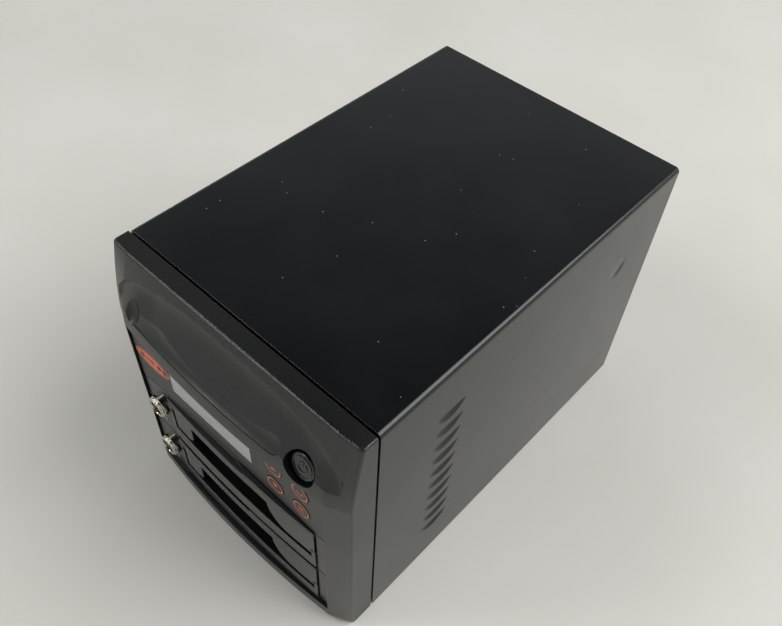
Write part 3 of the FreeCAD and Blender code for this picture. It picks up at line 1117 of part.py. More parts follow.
def make_cables():
    panel = size("bay_floor") + 2 * size("bay_pitch")
    board_end = (size("panel_thickness") - size("face_reach") + size("panel_return")
                 + size("board_setback") + size("controller_board_size"))
    board_top = panel + size("tray_sheet") + size("standoff") + size("board")
    port_y = size("rack_depth") - size("shell_wall") + 8
    middle = (size("tray_right") - size("tray_left")) / 2
    for name, level, x, out in (("upper", 1, 0.0, 26), ("lower", 0, -35.0, 34)):
        port_z = size("bay_floor") + level * size("bay_pitch") + 20
        start = Vector(x, board_end, board_top + 4)
        reach = port_y + out
        route = [start, start + Vector(0, 22, 0), Vector(x * 0.8 + middle * 0.2, reach - 4, board_top - 2),
                 Vector(x * 0.3 + middle * 0.7, reach, (board_top + port_z) / 2),
                 Vector(middle, reach - 6, port_z), Vector(middle, port_y, port_z)]
        subpart(f"{name}_data_cable", from_shape(round_cable(route, size("data_cable"))))
    high = supply_middle() + size("supply_width") / 2
    supply_front = size("case_depth") - 2 * size("steel") - size("supply_depth")
    top = panel + size("bay_pitch") + size("cage_headroom")
    start = Vector(high - 12, supply_front + size("supply_sheet"), top + 20)
    plug = Vector(43, board_end, board_top + 5)
    route = [start, start + Vector(0, -20, 0), Vector(high + 12, supply_front - 22, top + 14),
             Vector(high + 30, supply_front, top + 9), Vector(high + 44, supply_front + 30, top + 8),
             Vector(high + 48, supply_front + 62, top + 12), Vector(50, size("cage_depth") + 24, top),
             Vector(43, size("cage_depth") + 18, plug.z), plug]
    subpart("power_harness", from_shape(round_cable(route, size("power_cable"))))


def make_side_screws():
    side = f"({CAGE_SIDE} + steel)"
    screws = []
    for y, z in rack_screw_spots():
        screws.append(screw("X", (y, z), side, -1))
        screws.append(screw("X", (y, z), f"-{side}", 1))
    subpart("bay_screws", group(*screws))


make_cover()
make_chassis()
make_cage()
make_bezel()
make_button()
make_control_panel()
make_controller()
for rack_name, rack_floor in RACKS.items():
    make_rack(rack_name, rack_floor)
make_supply()
make_side_screws()
make_cables()
doc.recompute()

for item in doc.Objects:
    if "Invalid" in item.State or "Error" in item.State:
        raise RuntimeError(f"{item.Name} ({item.Label}) failed: {item.State}")
os.makedirs("parts", exist_ok=True)
for part in subparts:
    if part.Shape.isNull() or not part.Shape.isValid() or not part.Shape.Solids:
        raise RuntimeError(part.Label + " has no valid shape")
    part.Shape.exportStep(f"parts/{part.Label}.step")
    box = part.Shape.optimalBoundingBox(False)
    print(f"{part.Label:22s} solids {len(part.Shape.Solids):2d}  x {box.XMin:7.1f} {box.XMax:7.1f}"
          f"  y {box.YMin:7.1f} {box.YMax:7.1f}  z {box.ZMin:6.1f} {box.ZMax:6.1f}")
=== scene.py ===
# %% [markdown]
# # A drive duplicator, dressed over its solid model
#
# The object is a small black tower: a folded steel cover, a moulded front bezel, a panel with a
# display and four keys, and two lockable racks. The solid model already has every piece at its real
# size, so this file gives the pieces their finishes and adds what is too thin for the model, such
# as printed marks. The first step loads that model and gives a way to read the box of each piece.
# Nothing that is added here may stick out of it.

# %% Load the solid model
import json
import math
import bmesh
import bpy
from mathutils import Matrix, Vector


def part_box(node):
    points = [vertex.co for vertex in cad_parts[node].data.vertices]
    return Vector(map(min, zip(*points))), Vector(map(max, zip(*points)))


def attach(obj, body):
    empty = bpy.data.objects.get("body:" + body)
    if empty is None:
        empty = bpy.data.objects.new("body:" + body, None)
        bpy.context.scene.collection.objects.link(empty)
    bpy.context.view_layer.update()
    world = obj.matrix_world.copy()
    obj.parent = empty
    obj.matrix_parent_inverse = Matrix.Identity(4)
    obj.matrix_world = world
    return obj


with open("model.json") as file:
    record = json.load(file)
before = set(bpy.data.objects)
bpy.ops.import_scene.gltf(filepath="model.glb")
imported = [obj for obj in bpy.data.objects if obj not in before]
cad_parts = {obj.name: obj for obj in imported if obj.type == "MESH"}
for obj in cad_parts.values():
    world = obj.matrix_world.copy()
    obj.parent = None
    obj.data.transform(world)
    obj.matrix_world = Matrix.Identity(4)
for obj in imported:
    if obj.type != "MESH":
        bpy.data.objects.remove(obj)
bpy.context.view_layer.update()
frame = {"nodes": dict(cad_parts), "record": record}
NODES = frame["nodes"]
MM = 0.001

# %% [markdown]
# ## The camera
#
# The tower stands low on a table and is seen from above its right front corner. A camera could be
# turned by three angles, but a point to look at and a small roll are easier to read and to change.
# The aim is a point inside the case, a little above the middle.

# %% Camera
CAMERA_PLACE = Vector((0.20561, -0.24688, 0.47932))
CAMERA_AIM = Vector((-0.00358, -0.00143, 0.1))
CAMERA_ROLL = math.radians(3.365)
CAMERA_LENS = 37.684

camera = bpy.data.objects.new("Camera", bpy.data.cameras.new("Camera"))
camera.data.lens = CAMERA_LENS
camera.data.sensor_width = 36.0
camera.data.clip_start = 0.01
turn = (CAMERA_AIM - CAMERA_PLACE).to_track_quat("-Z", "Y").to_matrix().to_4x4()
camera.matrix_world = Matrix.Translation(CAMERA_PLACE) @ turn @ Matrix.Rotation(CAMERA_ROLL, 4, "Z")
bpy.context.scene.collection.objects.link(camera)
bpy.context.scene.camera = camera
print("distance to the aim in mm:", round((CAMERA_AIM - CAMERA_PLACE).length / MM))

# %% [markdown]
# ## Helpers for materials
#
# A colour is easiest to write as the hex value that a picture shows, but light adds up in linear
# values, so one function turns the first into the second. A second function adds a shader node with
# its settings and its links in one line. A socket that gets a plain value keeps it as its own.

# %% Colour and nodes
def colour(hex_value):
    """Turn an sRGB hex value into linear red, green, blue and alpha."""
    parts = [int(hex_value[i:i + 2], 16) / 255 for i in (1, 3, 5)]
    return [c / 12.92 if c <= 0.04045 else ((c + 0.055) / 1.055) ** 2.4 for c in parts] + [1.0]


def add(tree, kind, links=None, **settings):
    """Add a shader node, set its properties and fill its sockets, each from a value or another socket.

    A socket is called by its name, or by its number where several share one name.
    """
    made = tree.nodes.new("ShaderNode" + kind)
    for name, value in settings.items():
        setattr(made, name, value)
    for name, value in (links or {}).items():
        named = (s for s in made.inputs if s.enabled and s.name == name)
        socket = made.inputs[name] if isinstance(name, int) else next(named)
        if isinstance(value, bpy.types.NodeSocket):
            tree.links.new(value, socket)
        else:
            socket.default_value = value
    outputs = [s for s in made.outputs if s.enabled]
    return {s.name: s for s in outputs} | {"out": s for s in outputs[:1]}


def per(millimetres):
    """The scale of a texture whose pattern repeats at this real distance."""
    return 1000.0 / millimetres


print("middle grey in linear values:", round(colour("#808080")[0], 3))

# %% [markdown]
# ## One recipe for most finishes
#
# Paint, plastic, rubber and plated steel differ in their numbers more than in their build-up. Each
# has a tone that drifts in patches, as dust, handling and mould flow leave it, a gloss that drifts
# with it, and a grain that only catches the light. So one function makes all of that, and each
# finish says its two tones and its range of gloss, and in millimetres its patch size, its grain
# size and the height of that grain. Some grain is drawn coarser than the real one, because the real
# one is too fine to show at this distance.
#
# No real edge is quite sharp, and the thin bright line along it is what shows a folded or moulded
# part. An edge radius bends the light there and leaves the shape alone, so the solid model can keep
# its plain edges. A radius much larger than the real one would make wide faces look wavy.

# %% The recipe
def surface(name, dark, light, patch, grain, relief, gloss, ior=1.5, metallic=0.0,
            stretch=(1, 1, 1), edge=0.0):
    """Make a material. Gloss is the lowest and highest roughness.

    Stretch shortens the grain along each axis by its number. Edge is the radius, in millimetres, to
    which sharp edges look rounded.
    """
    material = bpy.data.materials.new(name)
    material.use_nodes = True
    tree = material.node_tree
    shader = tree.nodes["Principled BSDF"]
    place = add(tree, "TexCoord")["Object"]
    drift = add(tree, "TexNoise", {"Vector": place, "Scale": per(patch), "Detail": 4.0})["out"]
    drawn = add(tree, "Mapping", {"Vector": place, "Scale": stretch})["out"]
    grit = add(tree, "TexNoise", {"Vector": drawn, "Scale": per(grain), "Detail": 2.0})["out"]
    # The noise seldom leaves the middle of its range, so that middle is spread over both tones.
    share = add(tree, "MapRange", {"Value": drift, "From Min": 0.3, "From Max": 0.7})["out"]
    tone = add(tree, "Mix", {"Factor": share, "A": colour(dark), "B": colour(light)}, data_type="RGBA")
    rough = add(tree, "MapRange", {"Value": share, "To Min": gloss[0], "To Max": gloss[1]})["out"]
    bump = add(tree, "Bump", {"Strength": 1.0, "Distance": relief * MM, "Height": grit})["out"]
    if edge:
        rounded = add(tree, "Bevel", {"Radius": edge * MM}, samples=6)["out"]
        tree.links.new(rounded, bump.node.inputs["Normal"])
    shader.inputs["Metallic"].default_value = metallic
    if not metallic:
        shader.inputs["IOR"].default_value = ior
    tree.links.new(tone["out"], shader.inputs["Base Color"])
    tree.links.new(rough, shader.inputs["Roughness"])
    tree.links.new(bump, shader.inputs["Normal"])
    return material


def coat_over(material, weight, roughness):
    """Lay a clear gloss over a finish."""
    shader = material.node_tree.nodes["Principled BSDF"]
    shader.inputs["Coat Weight"].default_value = weight
    shader.inputs["Coat Roughness"].default_value = roughness


print("a grain of 0.5 mm has the texture scale", per(0.5))

# %% [markdown]
# ## Black powder coat
#
# The cover is folded steel with a baked black polyester powder. Powder flows as it bakes and leaves
# a soft orange peel about 2 mm from crest to crest, so reflections of the table are smooth but not
# sharp. A mirror-flat black would look like glass, and a plain rough black like paper. Fine pale
# dust lies on the top, and one knock has left a shallow dent high on the right side.

# %% Powder coat
DUST_CELL = 4.0
DUST_SHARE = 0.05
DENT_BELOW, DENT_FORWARD = 50 * MM, 42 * MM
DENT_RADIUS, DENT_DEPTH = 9 * MM, 1.2 * MM


def powder_coat():
    """Paint with dust on what looks up and one dent, measured from the cover's top rear corner."""
    material = surface("black_powder_coat", "#080a0c", "#101315", patch=60, grain=2.2, relief=0.018,
                       gloss=(0.2, 0.27), edge=0.5)
    tree = material.node_tree
    shader = tree.nodes["Principled BSDF"]
    place = add(tree, "TexCoord")["Object"]

    # Dust: a round speck in one of twenty cells of a fine pattern, and only where the face looks up.
    cells = add(tree, "TexVoronoi", {"Vector": place, "Scale": per(DUST_CELL)})
    near = add(tree, "MapRange", {"Value": cells["Distance"], "From Min": 0.05, "From Max": 0.11,
                                  "To Min": 1.0, "To Max": 0.0})["out"]
    pick = add(tree, "SeparateColor", {"Color": cells["Color"]})["Red"]
    chosen = add(tree, "Math", {0: pick, 1: 1 - DUST_SHARE}, operation="GREATER_THAN")["out"]
    upward = add(tree, "SeparateXYZ", {"Vector": add(tree, "NewGeometry")["Normal"]})["Z"]
    specks = add(tree, "Math", {0: near, 1: chosen}, operation="MULTIPLY")["out"]
    lying = add(tree, "Math", {0: specks, 1: upward}, operation="MULTIPLY", use_clamp=True)["out"]
    paint = shader.inputs["Base Color"].links[0].from_socket
    tone = add(tree, "Mix", {"Factor": lying, "A": paint, "B": colour("#8a8a84")}, data_type="RGBA")
    tree.links.new(tone["out"], shader.inputs["Base Color"])

    # The dent is a smooth hollow round one point of the side, added to the orange peel.
    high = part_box("cover")[1]
    knock = (high.x, high.y - DENT_FORWARD, high.z - DENT_BELOW)
    away = add(tree, "VectorMath", {0: place, 1: knock}, operation="DISTANCE")["Value"]
    bowl = add(tree, "MapRange", {"Value": away, "From Min": 0.0, "From Max": DENT_RADIUS},
               interpolation_type="SMOOTHERSTEP")["out"]
    peel = shader.inputs["Normal"].links[0].from_socket
    hollow = add(tree, "Bump", {"Strength": 1.0, "Distance": DENT_DEPTH, "Height": bowl,
                                "Normal": peel})["out"]
    tree.links.new(hollow, shader.inputs["Normal"])
    return material


POWDER_COAT = powder_coat()
print("made", POWDER_COAT.name)

# %% [markdown]
# ## Moulded plastics
#
# The bezel is injection-moulded ABS, and its mould was etched, so the skin has a fine even grain
# that breaks up reflections. The racks come from a smoother mould. The panel's face is a matt
# printed film, the keys are plain matt caps, and the power button is polished, so that it looks
# blacker than the bezel round it. All have the refraction of plastic, about 1.5 to 1.58, and no
# metal in them: only their gloss and their grain tell them apart.

# %% Moulded plastics
BEZEL_ABS = surface("etched_black_abs", "#0d0e0e", "#121413", patch=45, grain=0.8, relief=0.16,
                    gloss=(0.27, 0.34), ior=1.53, edge=0.35)
RACK_ABS = surface("satin_black_abs", "#0a0b0b", "#0f100f", patch=30, grain=0.5, relief=0.012,
                   gloss=(0.22, 0.3), ior=1.53, edge=0.5)
PANEL_FILM = surface("matt_printed_film", "#181a1a", "#1d1f1e", patch=50, grain=0.4, relief=0.008,
                     gloss=(0.38, 0.45), ior=1.58, edge=0.5)
KEY_ABS = surface("matt_key_abs", "#1c1e1e", "#222423", patch=9, grain=0.35, relief=0.01, gloss=(0.38, 0.46))
BUTTON_ABS = surface("polished_black_abs", "#0b0c0c", "#101111", patch=8, grain=1.2, relief=0.006,
                     gloss=(0.16, 0.26), ior=1.53)
FAN_PBT = surface("glass_filled_black_pbt", "#121212", "#1c1c1c", patch=12, grain=0.6, relief=0.02,
                  gloss=(0.4, 0.55))
INLET_NYLON = surface("black_inlet_nylon", "#0e0e0f", "#151516", patch=10, grain=0.5, relief=0.012,
                      gloss=(0.35, 0.5))
ROCKER_NYLON = surface("glossy_rocker_nylon", "#0c0c0d", "#111112", patch=8, grain=1.0, relief=0.005,
                       gloss=(0.18, 0.28))
SWITCH_NYLON = surface("grey_switch_nylon", "#26272a", "#303236", patch=5, grain=0.4, relief=0.01,
                       gloss=(0.4, 0.5))
FOOT_RUBBER = surface("moulded_black_rubber", "#161616", "#202020", patch=6, grain=0.8, relief=0.03,
                      gloss=(0.65, 0.8), ior=1.52)
print("plastics:", len(bpy.data.materials))

# %% [markdown]
# ## Metals
#
# The chassis, cage, trays and rack shells are galvanised sheet, which shows a soft spangle of zinc
# crystals. The locks are bright chrome over brass, the screws zinc plated and the pins ground. A
# metal has no colour under its surface, so the base colour is what it reflects, and the roughness
# does the rest.

# %% Metals
GALVANISED = surface("galvanised_sheet", "#8f9292", "#b3b6b5", patch=5, grain=2.5, relief=0.01,
                     gloss=(0.3, 0.48), metallic=1.0)
CHROME = surface("bright_chrome", "#b3aea0", "#cbc7ba", patch=3, grain=1.5, relief=0.004,
                 gloss=(0.08, 0.17), metallic=1.0)
ZINC_SCREW = surface("zinc_plated_steel", "#9b9a94", "#bdbcb6", patch=2, grain=0.3, relief=0.006,
                     gloss=(0.25, 0.4), metallic=1.0)
GROUND_STEEL = surface("ground_steel", "#a8a9aa", "#c2c3c4", patch=3, grain=0.25, relief=0.004,
                       gloss=(0.2, 0.32), metallic=1.0, stretch=(0.1, 1, 1))
STAMPED_STEEL = surface("stamped_display_frame", "#5f6060", "#787a7a", patch=12, grain=0.5, relief=0.01,
                        gloss=(0.35, 0.5), metallic=1.0)
print("metals:", GALVANISED.name, CHROME.name, ZINC_SCREW.name)

# %% [markdown]
# ## Circuit boards and cables
#
# A board is glass fibre with copper tracks under green solder mask. The tracks stand a little
# proud, so they show as a net of straight lines that catch the light. A brick pattern has such
# lines, and a wide brick looks like bundles of tracks. The round red data cables and the black power
# harness have extruded sleeves with faint rings, drawn by a stretched grain.

# %% Boards and cables
def solder_mask():
    """Green lacquer with paler tracks, from the joints of a wide brick pattern."""
    material = surface("green_solder_mask", "#0d3a20", "#14522c", patch=14, grain=0.8, relief=0.01,
                       gloss=(0.22, 0.34), ior=1.55)
    tree = material.node_tree
    shader = tree.nodes["Principled BSDF"]
    place = add(tree, "TexCoord")["Object"]
    tracks = add(tree, "TexBrick", {"Vector": place, "Scale": per(20), "Mortar Size": 0.018,
                                    "Brick Width": 0.7, "Row Height": 0.12})["Fac"]
    mask = shader.inputs["Base Color"].links[0].from_socket
    tone = add(tree, "Mix", {"Factor": tracks, "A": mask, "B": colour("#1d6b3c")}, data_type="RGBA")
    tree.links.new(tone["out"], shader.inputs["Base Color"])
    return material


SOLDER_MASK = solder_mask()
RED_SLEEVE = surface("red_cable_sleeve", "#7c1712", "#941f18", patch=10, grain=1.2, relief=0.03,
                     gloss=(0.4, 0.55), stretch=(1, 4, 1))
BLACK_SLEEVE = surface("black_braided_sleeve", "#141414", "#262626", patch=4, grain=0.9, relief=0.08,
                       gloss=(0.55, 0.7), stretch=(2, 2, 1))
print("made", SOLDER_MASK.name, RED_SLEEVE.name, BLACK_SLEEVE.name)

# %% [markdown]
# ## The display and the light pipes
#
# The display is switched off: a grey panel behind a clear window. Its character cells are barely
# visible, because the gaps between them have one even tone and the cells drift a little about it. A
# brick pattern with no offset draws them at the pitch of a common display, 3.5 mm across and 6 mm
# up. The light pipes are frosted acrylic.

# %% Display and light pipes
CELL_PITCH = 3.5


def unlit_display():
    """A grey panel with a faint net of character cells, under the gloss of its window."""
    material = surface("unlit_grey_display", "#989a96", "#a4a6a2", patch=25, grain=0.3, relief=0.003,
                       gloss=(0.2, 0.28), ior=1.49)
    tree = material.node_tree
    shader = tree.nodes["Principled BSDF"]
    place = add(tree, "TexCoord")["Object"]
    low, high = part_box("display_window")
    middle = (low + high) / 2
    flat = add(tree, "SeparateXYZ", {"Vector": place})
    cell = add(tree, "CombineXYZ", {"X": flat["X"], "Y": flat["Z"]})["out"]
    shifted = add(tree, "Mapping", {"Vector": cell, "Location": (-middle.x, -middle.z, 0)})["out"]
    gaps = add(tree, "TexBrick", {"Vector": shifted, "Scale": per(CELL_PITCH), "Mortar Size": 0.08,
                                  "Brick Width": 1.0, "Row Height": 1.7}, offset=0.0)["Fac"]
    glass = shader.inputs["Base Color"].links[0].from_socket
    tone = add(tree, "Mix", {"Factor": gaps, "A": glass, "B": colour("#9ea09c")}, data_type="RGBA")
    tree.links.new(tone["out"], shader.inputs["Base Color"])
    coat_over(material, 0.6, 0.05)
    return material


DISPLAY = unlit_display()
ACRYLIC = surface("frosted_acrylic", "#7d8486", "#949b9c", patch=4, grain=0.4, relief=0.01,
                  gloss=(0.25, 0.4), ior=1.49)
print("made", DISPLAY.name, ACRYLIC.name)

# %% [markdown]
# ## Finishes on the model's own pieces
#
# The solid model names one finish slot for each piece. A table from slot to material dresses them
# all, and a second table names the few pieces that differ from their slot, such as the polished
# button among the moulded plastics.

# %% Dress the solid pieces
BY_SLOT = {
    "powder_coated_steel": POWDER_COAT, "galvanised_steel": GALVANISED, "foot_rubber": FOOT_RUBBER,
    "moulded_black_abs": RACK_ABS, "switch_plastic": SWITCH_NYLON, "display_lens": DISPLAY,
    "display_metal": STAMPED_STEEL, "key_plastic": KEY_ABS, "circuit_board": SOLDER_MASK,
    "pin_steel": GROUND_STEEL, "inlet_plastic": INLET_NYLON, "rocker_plastic": ROCKER_NYLON,
    "fan_plastic": FAN_PBT, "screw_steel": ZINC_SCREW, "cable_jacket": RED_SLEEVE,
    "harness_jacket": BLACK_SLEEVE, "light_pipe_acrylic": ACRYLIC, "lock_chrome": CHROME,
}
BY_NODE = {"front_bezel": BEZEL_ABS, "power_button": BUTTON_ABS, "control_panel": PANEL_FILM}

for part in frame["record"]["subparts"]:
    mesh = NODES[part["node"]].data
    mesh.materials.clear()
    mesh.materials.append(BY_NODE.get(part["node"], BY_SLOT[part["material_slot"]]))

# %% [markdown]
# ## Printed marks
#
# The four keys carry orange rings with a symbol in each, and an orange oval badge fills the left
# end of the panel. Ink is screen printed, a film a few hundredths of a millimetre high with a crisp
# edge. It could be painted by a texture, but a thin mesh has a sharp edge at any distance. Each
# mark is drawn flat as polygons in the panel's plane, then given the thickness of its ink.

# %% Ink and flat marks
INK = 0.04 * MM
ORANGE_INK = surface("orange_screen_ink", "#c4613f", "#d06f4b", patch=5, grain=0.3, relief=0.004,
                     gloss=(0.4, 0.5))
BLACK_INK = surface("black_screen_ink", "#1a1b1b", "#222323", patch=5, grain=0.3, relief=0.004,
                    gloss=(0.4, 0.5))


def circle(x, z, across, tall, steps=48, start=0.0, end=360.0):
    """Points on an oval, or on a stretch of it, across and tall being its half sizes."""
    closed = end - start >= 360
    count = steps if closed else steps + 1
    angles = [math.radians(start + (end - start) * i / steps) for i in range(count)]
    return [(x + across * math.cos(a), z + tall * math.sin(a)) for a in angles]


def band(outer, inner, closed=True):
    """Four-sided tiles between two rows of as many points."""
    count = len(outer)
    tiles = []
    for i in range(count if closed else count - 1):
        j = (i + 1) % count
        tiles.append([outer[i], outer[j], inner[j], inner[i]])
    return tiles


def ring(x, z, radius, width):
    """A round line, width being how far it reaches in from its radius."""
    return band(circle(x, z, radius, radius), circle(x, z, radius - width, radius - width))


def settle(mesh, name, to_place, material, body):
    """Make an object of a drawn mesh, put it in place, and say its slot and the body it rides on."""
    piece = bpy.data.objects.new(name, bpy.data.meshes.new(name))
    mesh.transform(to_place)
    mesh.to_mesh(piece.data)
    mesh.free()
    piece.data.materials.append(material)
    bpy.context.scene.collection.objects.link(piece)
    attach(piece, body)


def plate(name, tiles, to_place, thickness, material, body):
    """Raise flat tiles, drawn in millimetres, to a thin solid and put it where to_place says."""
    mesh = bmesh.new()
    for tile in tiles:
        mesh.faces.new([mesh.verts.new((x * MM, 0, z * MM)) for x, z in tile])
    bmesh.ops.remove_doubles(mesh, verts=mesh.verts, dist=0.001 * MM)
    bmesh.ops.recalc_face_normals(mesh, faces=mesh.faces)
    raised = bmesh.ops.extrude_face_region(mesh, geom=list(mesh.faces))["geom"]
    top = [part for part in raised if isinstance(part, bmesh.types.BMVert)]
    bmesh.ops.translate(mesh, verts=top, vec=(0, -thickness, 0))
    bmesh.ops.recalc_face_normals(mesh, faces=mesh.faces)
    settle(mesh, name, to_place, material, body)


print("ink thickness in mm:", INK / MM)

# %% [markdown]
# ## Key symbols
#
# Each key has a ring near its rim and one plain symbol: up, down, a cross to go back and a bent
# arrow to confirm. The symbols are built from bars and triangles round the key's centre, which
# comes from the key's own box, so that the print moves with its key.

# %% Print the keys
KEY_RING_GAP = 1.65
KEY_RING_WIDTH = 0.75


def bar(x, z, width, height):
    """The corners of an upright rectangle round its middle."""
    return [(x - width / 2, z - height / 2), (x + width / 2, z - height / 2),
            (x + width / 2, z + height / 2), (x - width / 2, z + height / 2)]


def turned_bar(length, width, degrees):
    """A bar turned about its middle."""
    spin = Matrix.Rotation(math.radians(degrees), 2)
    return [tuple(spin @ Vector(corner)) for corner in bar(0, 0, length, width)]


SYMBOLS = {
    "up_key": [[(-1.9, -1.4), (1.9, -1.4), (0, 1.9)]],
    "down_key": [[(-1.9, 1.4), (0, -1.9), (1.9, 1.4)]],
    "escape_key": [turned_bar(5.0, 0.8, 45), turned_bar(5.0, 0.8, -45)],
    "enter_key": [bar(0.5, -0.9, 3.4, 0.7), bar(1.85, 0.35, 0.7, 1.8),
                  [(-2.4, -0.9), (-1.1, -2.2), (-1.1, 0.4)]],
}

for key, symbol in SYMBOLS.items():
    low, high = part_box(key)
    face = Matrix.Translation(((low.x + high.x) / 2, low.y, (low.z + high.z) / 2))
    circled = ring(0, 0, (high.z - low.z) / 2 / MM - KEY_RING_GAP, KEY_RING_WIDTH)
    plate(key + "_print", circled + symbol, face, INK, ORANGE_INK, key)
print("printed", len(SYMBOLS), "keys")

# %% [markdown]
# ## The badge
#
# The badge is an orange oval with a black line inside its rim and a plain copying sign: one disk,
# an arrow, and two disks. The black is printed over the orange, so it is as thick as both.

# %% Print the badge
BADGE = (14.5, 6.5)
BADGE_FROM_CORNER = (14.8, 18.4)
DISK = 1.9
panel_low, panel_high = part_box("control_panel")
badge_place = Matrix.Translation((panel_low.x + BADGE_FROM_CORNER[0] * MM, panel_low.y,
                                  panel_high.z - BADGE_FROM_CORNER[1] * MM))
oval = [circle(0, 0, *BADGE)]
source, first_copy, second_copy = [circle(x, 0, DISK, DISK, 24) for x in (-8.4, 6.0, 10.6)]
arrow = [bar(-2.6, 0, 5.0, 0.9), [(-0.4, -1.7), (2.2, 0), (-0.4, 1.7)]]
copy_sign = [source] + arrow + [first_copy, second_copy]
rim_line = band(*[circle(0, 0, BADGE[0] - inset, BADGE[1] - inset) for inset in (0.8, 1.2)])
plate("panel_badge", oval, badge_place, INK, ORANGE_INK, "chassis")
plate("panel_badge_sign", copy_sign, badge_place, 2 * INK, BLACK_INK, "chassis")
plate("panel_badge_line", rim_line, badge_place, 2 * INK, BLACK_INK, "chassis")
print("badge is", 2 * BADGE[0], "by", 2 * BADGE[1], "mm")

# %% [markdown]
# ## The display's outline
#
# A pale printed line runs round the display and hides the gap between window and panel. It lies on
# the window, whose box includes a hidden ledge, so the line keeps 2 mm inside that box.

# %% Print the display's outline
LEDGE = 2.0
LINE_WIDTH = 0.55
window_low, window_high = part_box("display_window")
middle = (window_low + window_high) / 2
shown_width = (window_high.x - window_low.x) / MM - 2 * LEDGE
shown_height = (window_high.z - window_low.z) / MM - 2 * LEDGE
PALE_INK = surface("pale_screen_ink", "#a2a4a0", "#b0b2ae", patch=9, grain=0.3, relief=0.003,
                   gloss=(0.35, 0.45))
outline = band(bar(0, 0, shown_width, shown_height),
               bar(0, 0, shown_width - 2 * LINE_WIDTH, shown_height - 2 * LINE_WIDTH))
plate("display_outline", outline, Matrix.Translation((middle.x, window_low.y, middle.z)), INK, PALE_INK,
      "chassis")
print("display shows", round(shown_width), "by", round(shown_height), "mm")

# %% [markdown]
# ## The power button's raised sign
#
# The button's cap leans back with the header and carries a moulded ring round a power sign. The
# sign is raised by 0.3 mm and is part of the cap, so it shares its plastic. The cap's face is found
# by looking for the corners of the mesh that lie farthest out along its axis. The sign is an arc
# with its gap at the top and a stroke in the gap.

# %% Raise the power sign
BUTTON_LEAN = math.radians(15)
SIGN_RELIEF = 0.3 * MM
outward = Vector((0, -math.cos(BUTTON_LEAN), math.sin(BUTTON_LEAN)))
corners = [vertex.co for vertex in NODES["power_button"].data.vertices]
level = max(corner.dot(outward) for corner in corners)
face_corners = [corner for corner in corners if level - corner.dot(outward) < 0.01 * MM]
face_middle = sum(face_corners, Vector()) / len(face_corners)
across = max(corner.x for corner in face_corners) - min(corner.x for corner in face_corners)
rest_on_cap = Matrix.Translation(face_middle) @ Matrix.Rotation(-BUTTON_LEAN, 4, "X")
cap_radius = across / 2 / MM
rim = ring(0, 0, cap_radius - 0.9, 0.6)
stroke = bar(0, 2.3, 0.8, 3.0)
arc = band(*[circle(0, 0, r, r, steps=30, start=120, end=420) for r in (3.2, 2.5)], closed=False)
power_sign = rim + [stroke] + arc
plate("power_sign", power_sign, rest_on_cap, SIGN_RELIEF, BUTTON_ABS, "power_button")
print("cap radius in mm:", round(cap_radius, 2))

# %% [markdown]
# ## Lock faces
#
# Each rack is locked by a tubular lock: a chromed barrel with a fluted nose round a turning plug.
# The plug has a ring-shaped keyway with one notch. A fluted nose is a turned profile whose rim
# moves in and out as it goes round, so one function turns a profile and lets the flutes cut its
# outer points. The nose stays with the case, and the notch turns with the plug.

# %% Turn the lock noses
def turned(name, profile, flutes, depth, centre, material, body, steps=96):
    """Turn a profile about the Y direction, and cut flutes of the given depth into it.

    Each point of the profile has a radius and a forward reach, in millimetres, and the share of the
    flutes' depth that it takes part in.
    """
    mesh = bmesh.new()
    rows = []
    for radius, forward, share in profile:
        row = []
        for i in range(steps):
            angle = 2 * math.pi * i / steps
            r = radius - depth * share * (0.5 + 0.5 * math.cos(flutes * angle))
            row.append(mesh.verts.new((r * math.cos(angle) * MM, -forward * MM, r * math.sin(angle) * MM)))
        rows.append(row)
    for row, after in zip(rows, rows[1:] + rows[:1]):
        for i in range(steps):
            j = (i + 1) % steps
            mesh.faces.new((row[i], row[j], after[j], after[i]))
    bmesh.ops.recalc_face_normals(mesh, faces=mesh.faces)
    settle(mesh, name, Matrix.Translation(centre), material, body)


NOSE = [(4.7, 0.0, 0), (7.0, 0.0, 0.4), (7.0, 0.5, 1), (6.5, 1.3, 1),
        (5.4, 1.6, 0.5), (4.9, 1.5, 0), (4.7, 0.9, 0)]
FLUTES, FLUTE_DEPTH = 8, 0.7
NOTCH_HEIGHT = 0.15 * MM
for rack in ("upper", "lower"):
    low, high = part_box(rack + "_lock_barrel")
    axis = Vector(((low.x + high.x) / 2, low.y, (low.z + high.z) / 2))
    turned(rack + "_lock_nose", NOSE, FLUTES, FLUTE_DEPTH, axis, CHROME, "chassis")
    core_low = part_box(rack + "_lock_core")[0]
    notch_place = Matrix.Translation((axis.x, core_low.y, axis.z))
    plate(rack + "_lock_notch", [bar(0, 3.0, 1.5, 1.5)], notch_place, NOTCH_HEIGHT, CHROME,
          rack + "_lock_core")
    # A thin black disk on the plug's face is painted shade: it stands for the dark inside the keyhole, not
    # for a print.
    plate(rack + "_lock_painted_keyhole_shade", [circle(0, 0, 1.1, 1.1, 24)], notch_place, INK, BLACK_INK,
          rack + "_lock_core")
print("lock nose reaches", max(point[1] for point in NOSE), "mm")

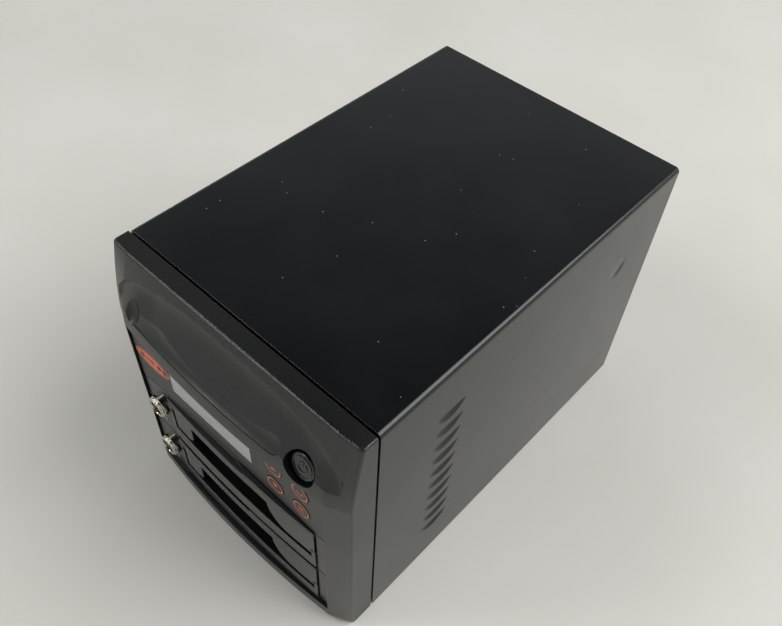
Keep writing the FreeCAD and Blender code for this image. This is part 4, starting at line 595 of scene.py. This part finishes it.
# %% [markdown]
# ## The table and the light
#
# The tower stands on a pale backdrop of slightly creased vinyl, which the glossy side and front
# mirror. Most of the light comes from a wide soft lamp above and behind its right side, so that the
# soft shadow falls to the front left, and weaker fills come from the front and the left. No lamp
# stands where the top would mirror it, because the top is meant to look nearly black. The sky is
# darker overhead than at the horizon, as a room's ceiling is, and it shows as a pale wall to the
# camera.

# %% Table
TABLE_SIDE = 8.0
backdrop = surface("creased_pale_vinyl", "#d9d8d0", "#e0dfd8", patch=180, grain=45, relief=0.5,
                   gloss=(0.75, 0.85))
bpy.ops.mesh.primitive_plane_add(size=TABLE_SIDE)
table = bpy.context.object
table.name = "table"
table.data.materials.append(backdrop)
print("table side in m:", table.dimensions.x)

# %% Lamps and sky
def soft_lamp(name, place, aim, side, watts):
    """A square lamp at a place, turned to face its aim, its side in metres."""
    data = bpy.data.lights.new(name, "AREA")
    data.size = side
    data.energy = watts
    lamp = bpy.data.objects.new(name, data)
    lamp.location = place
    lamp.rotation_euler = (Vector(aim) - Vector(place)).to_track_quat("-Z", "Y").to_euler()
    bpy.context.scene.collection.objects.link(lamp)


soft_lamp("window_lamp", place=(1.3, 0.9, 1.9), aim=(0, 0, 0), side=1.8, watts=48)
soft_lamp("front_fill", place=(-0.8, -1.8, 1.6), aim=(0, 0, 0.1), side=1.6, watts=7)
soft_lamp("left_fill", place=(-1.0, -1.0, 1.5), aim=(0, 0, 0.1), side=0.7, watts=9)

world = bpy.data.worlds.new("Room")
bpy.context.scene.world = world
world.use_nodes = True
sky = world.node_tree
sky.nodes.clear()
height = add(sky, "SeparateXYZ", {"Vector": add(sky, "TexCoord")["Generated"]})["Z"]
overhead = add(sky, "MapRange", {"Value": height, "From Min": 0.3, "From Max": 0.85,
                                 "To Min": 0.72, "To Max": 0.02})["out"]
room = add(sky, "Background", {"Color": colour("#f4f5f6"), "Strength": overhead})["out"]
wall = add(sky, "Background", {"Color": colour("#e6e4de"), "Strength": 1.0})["out"]
seen = add(sky, "LightPath")["Is Camera Ray"]
shown = add(sky, "MixShader", {0: seen, 1: room, 2: wall})["out"]
add(sky, "OutputWorld", {"Surface": shown})
bpy.context.scene.view_settings.view_transform = "Standard"
print("lamps:", [light.name for light in bpy.data.lights])
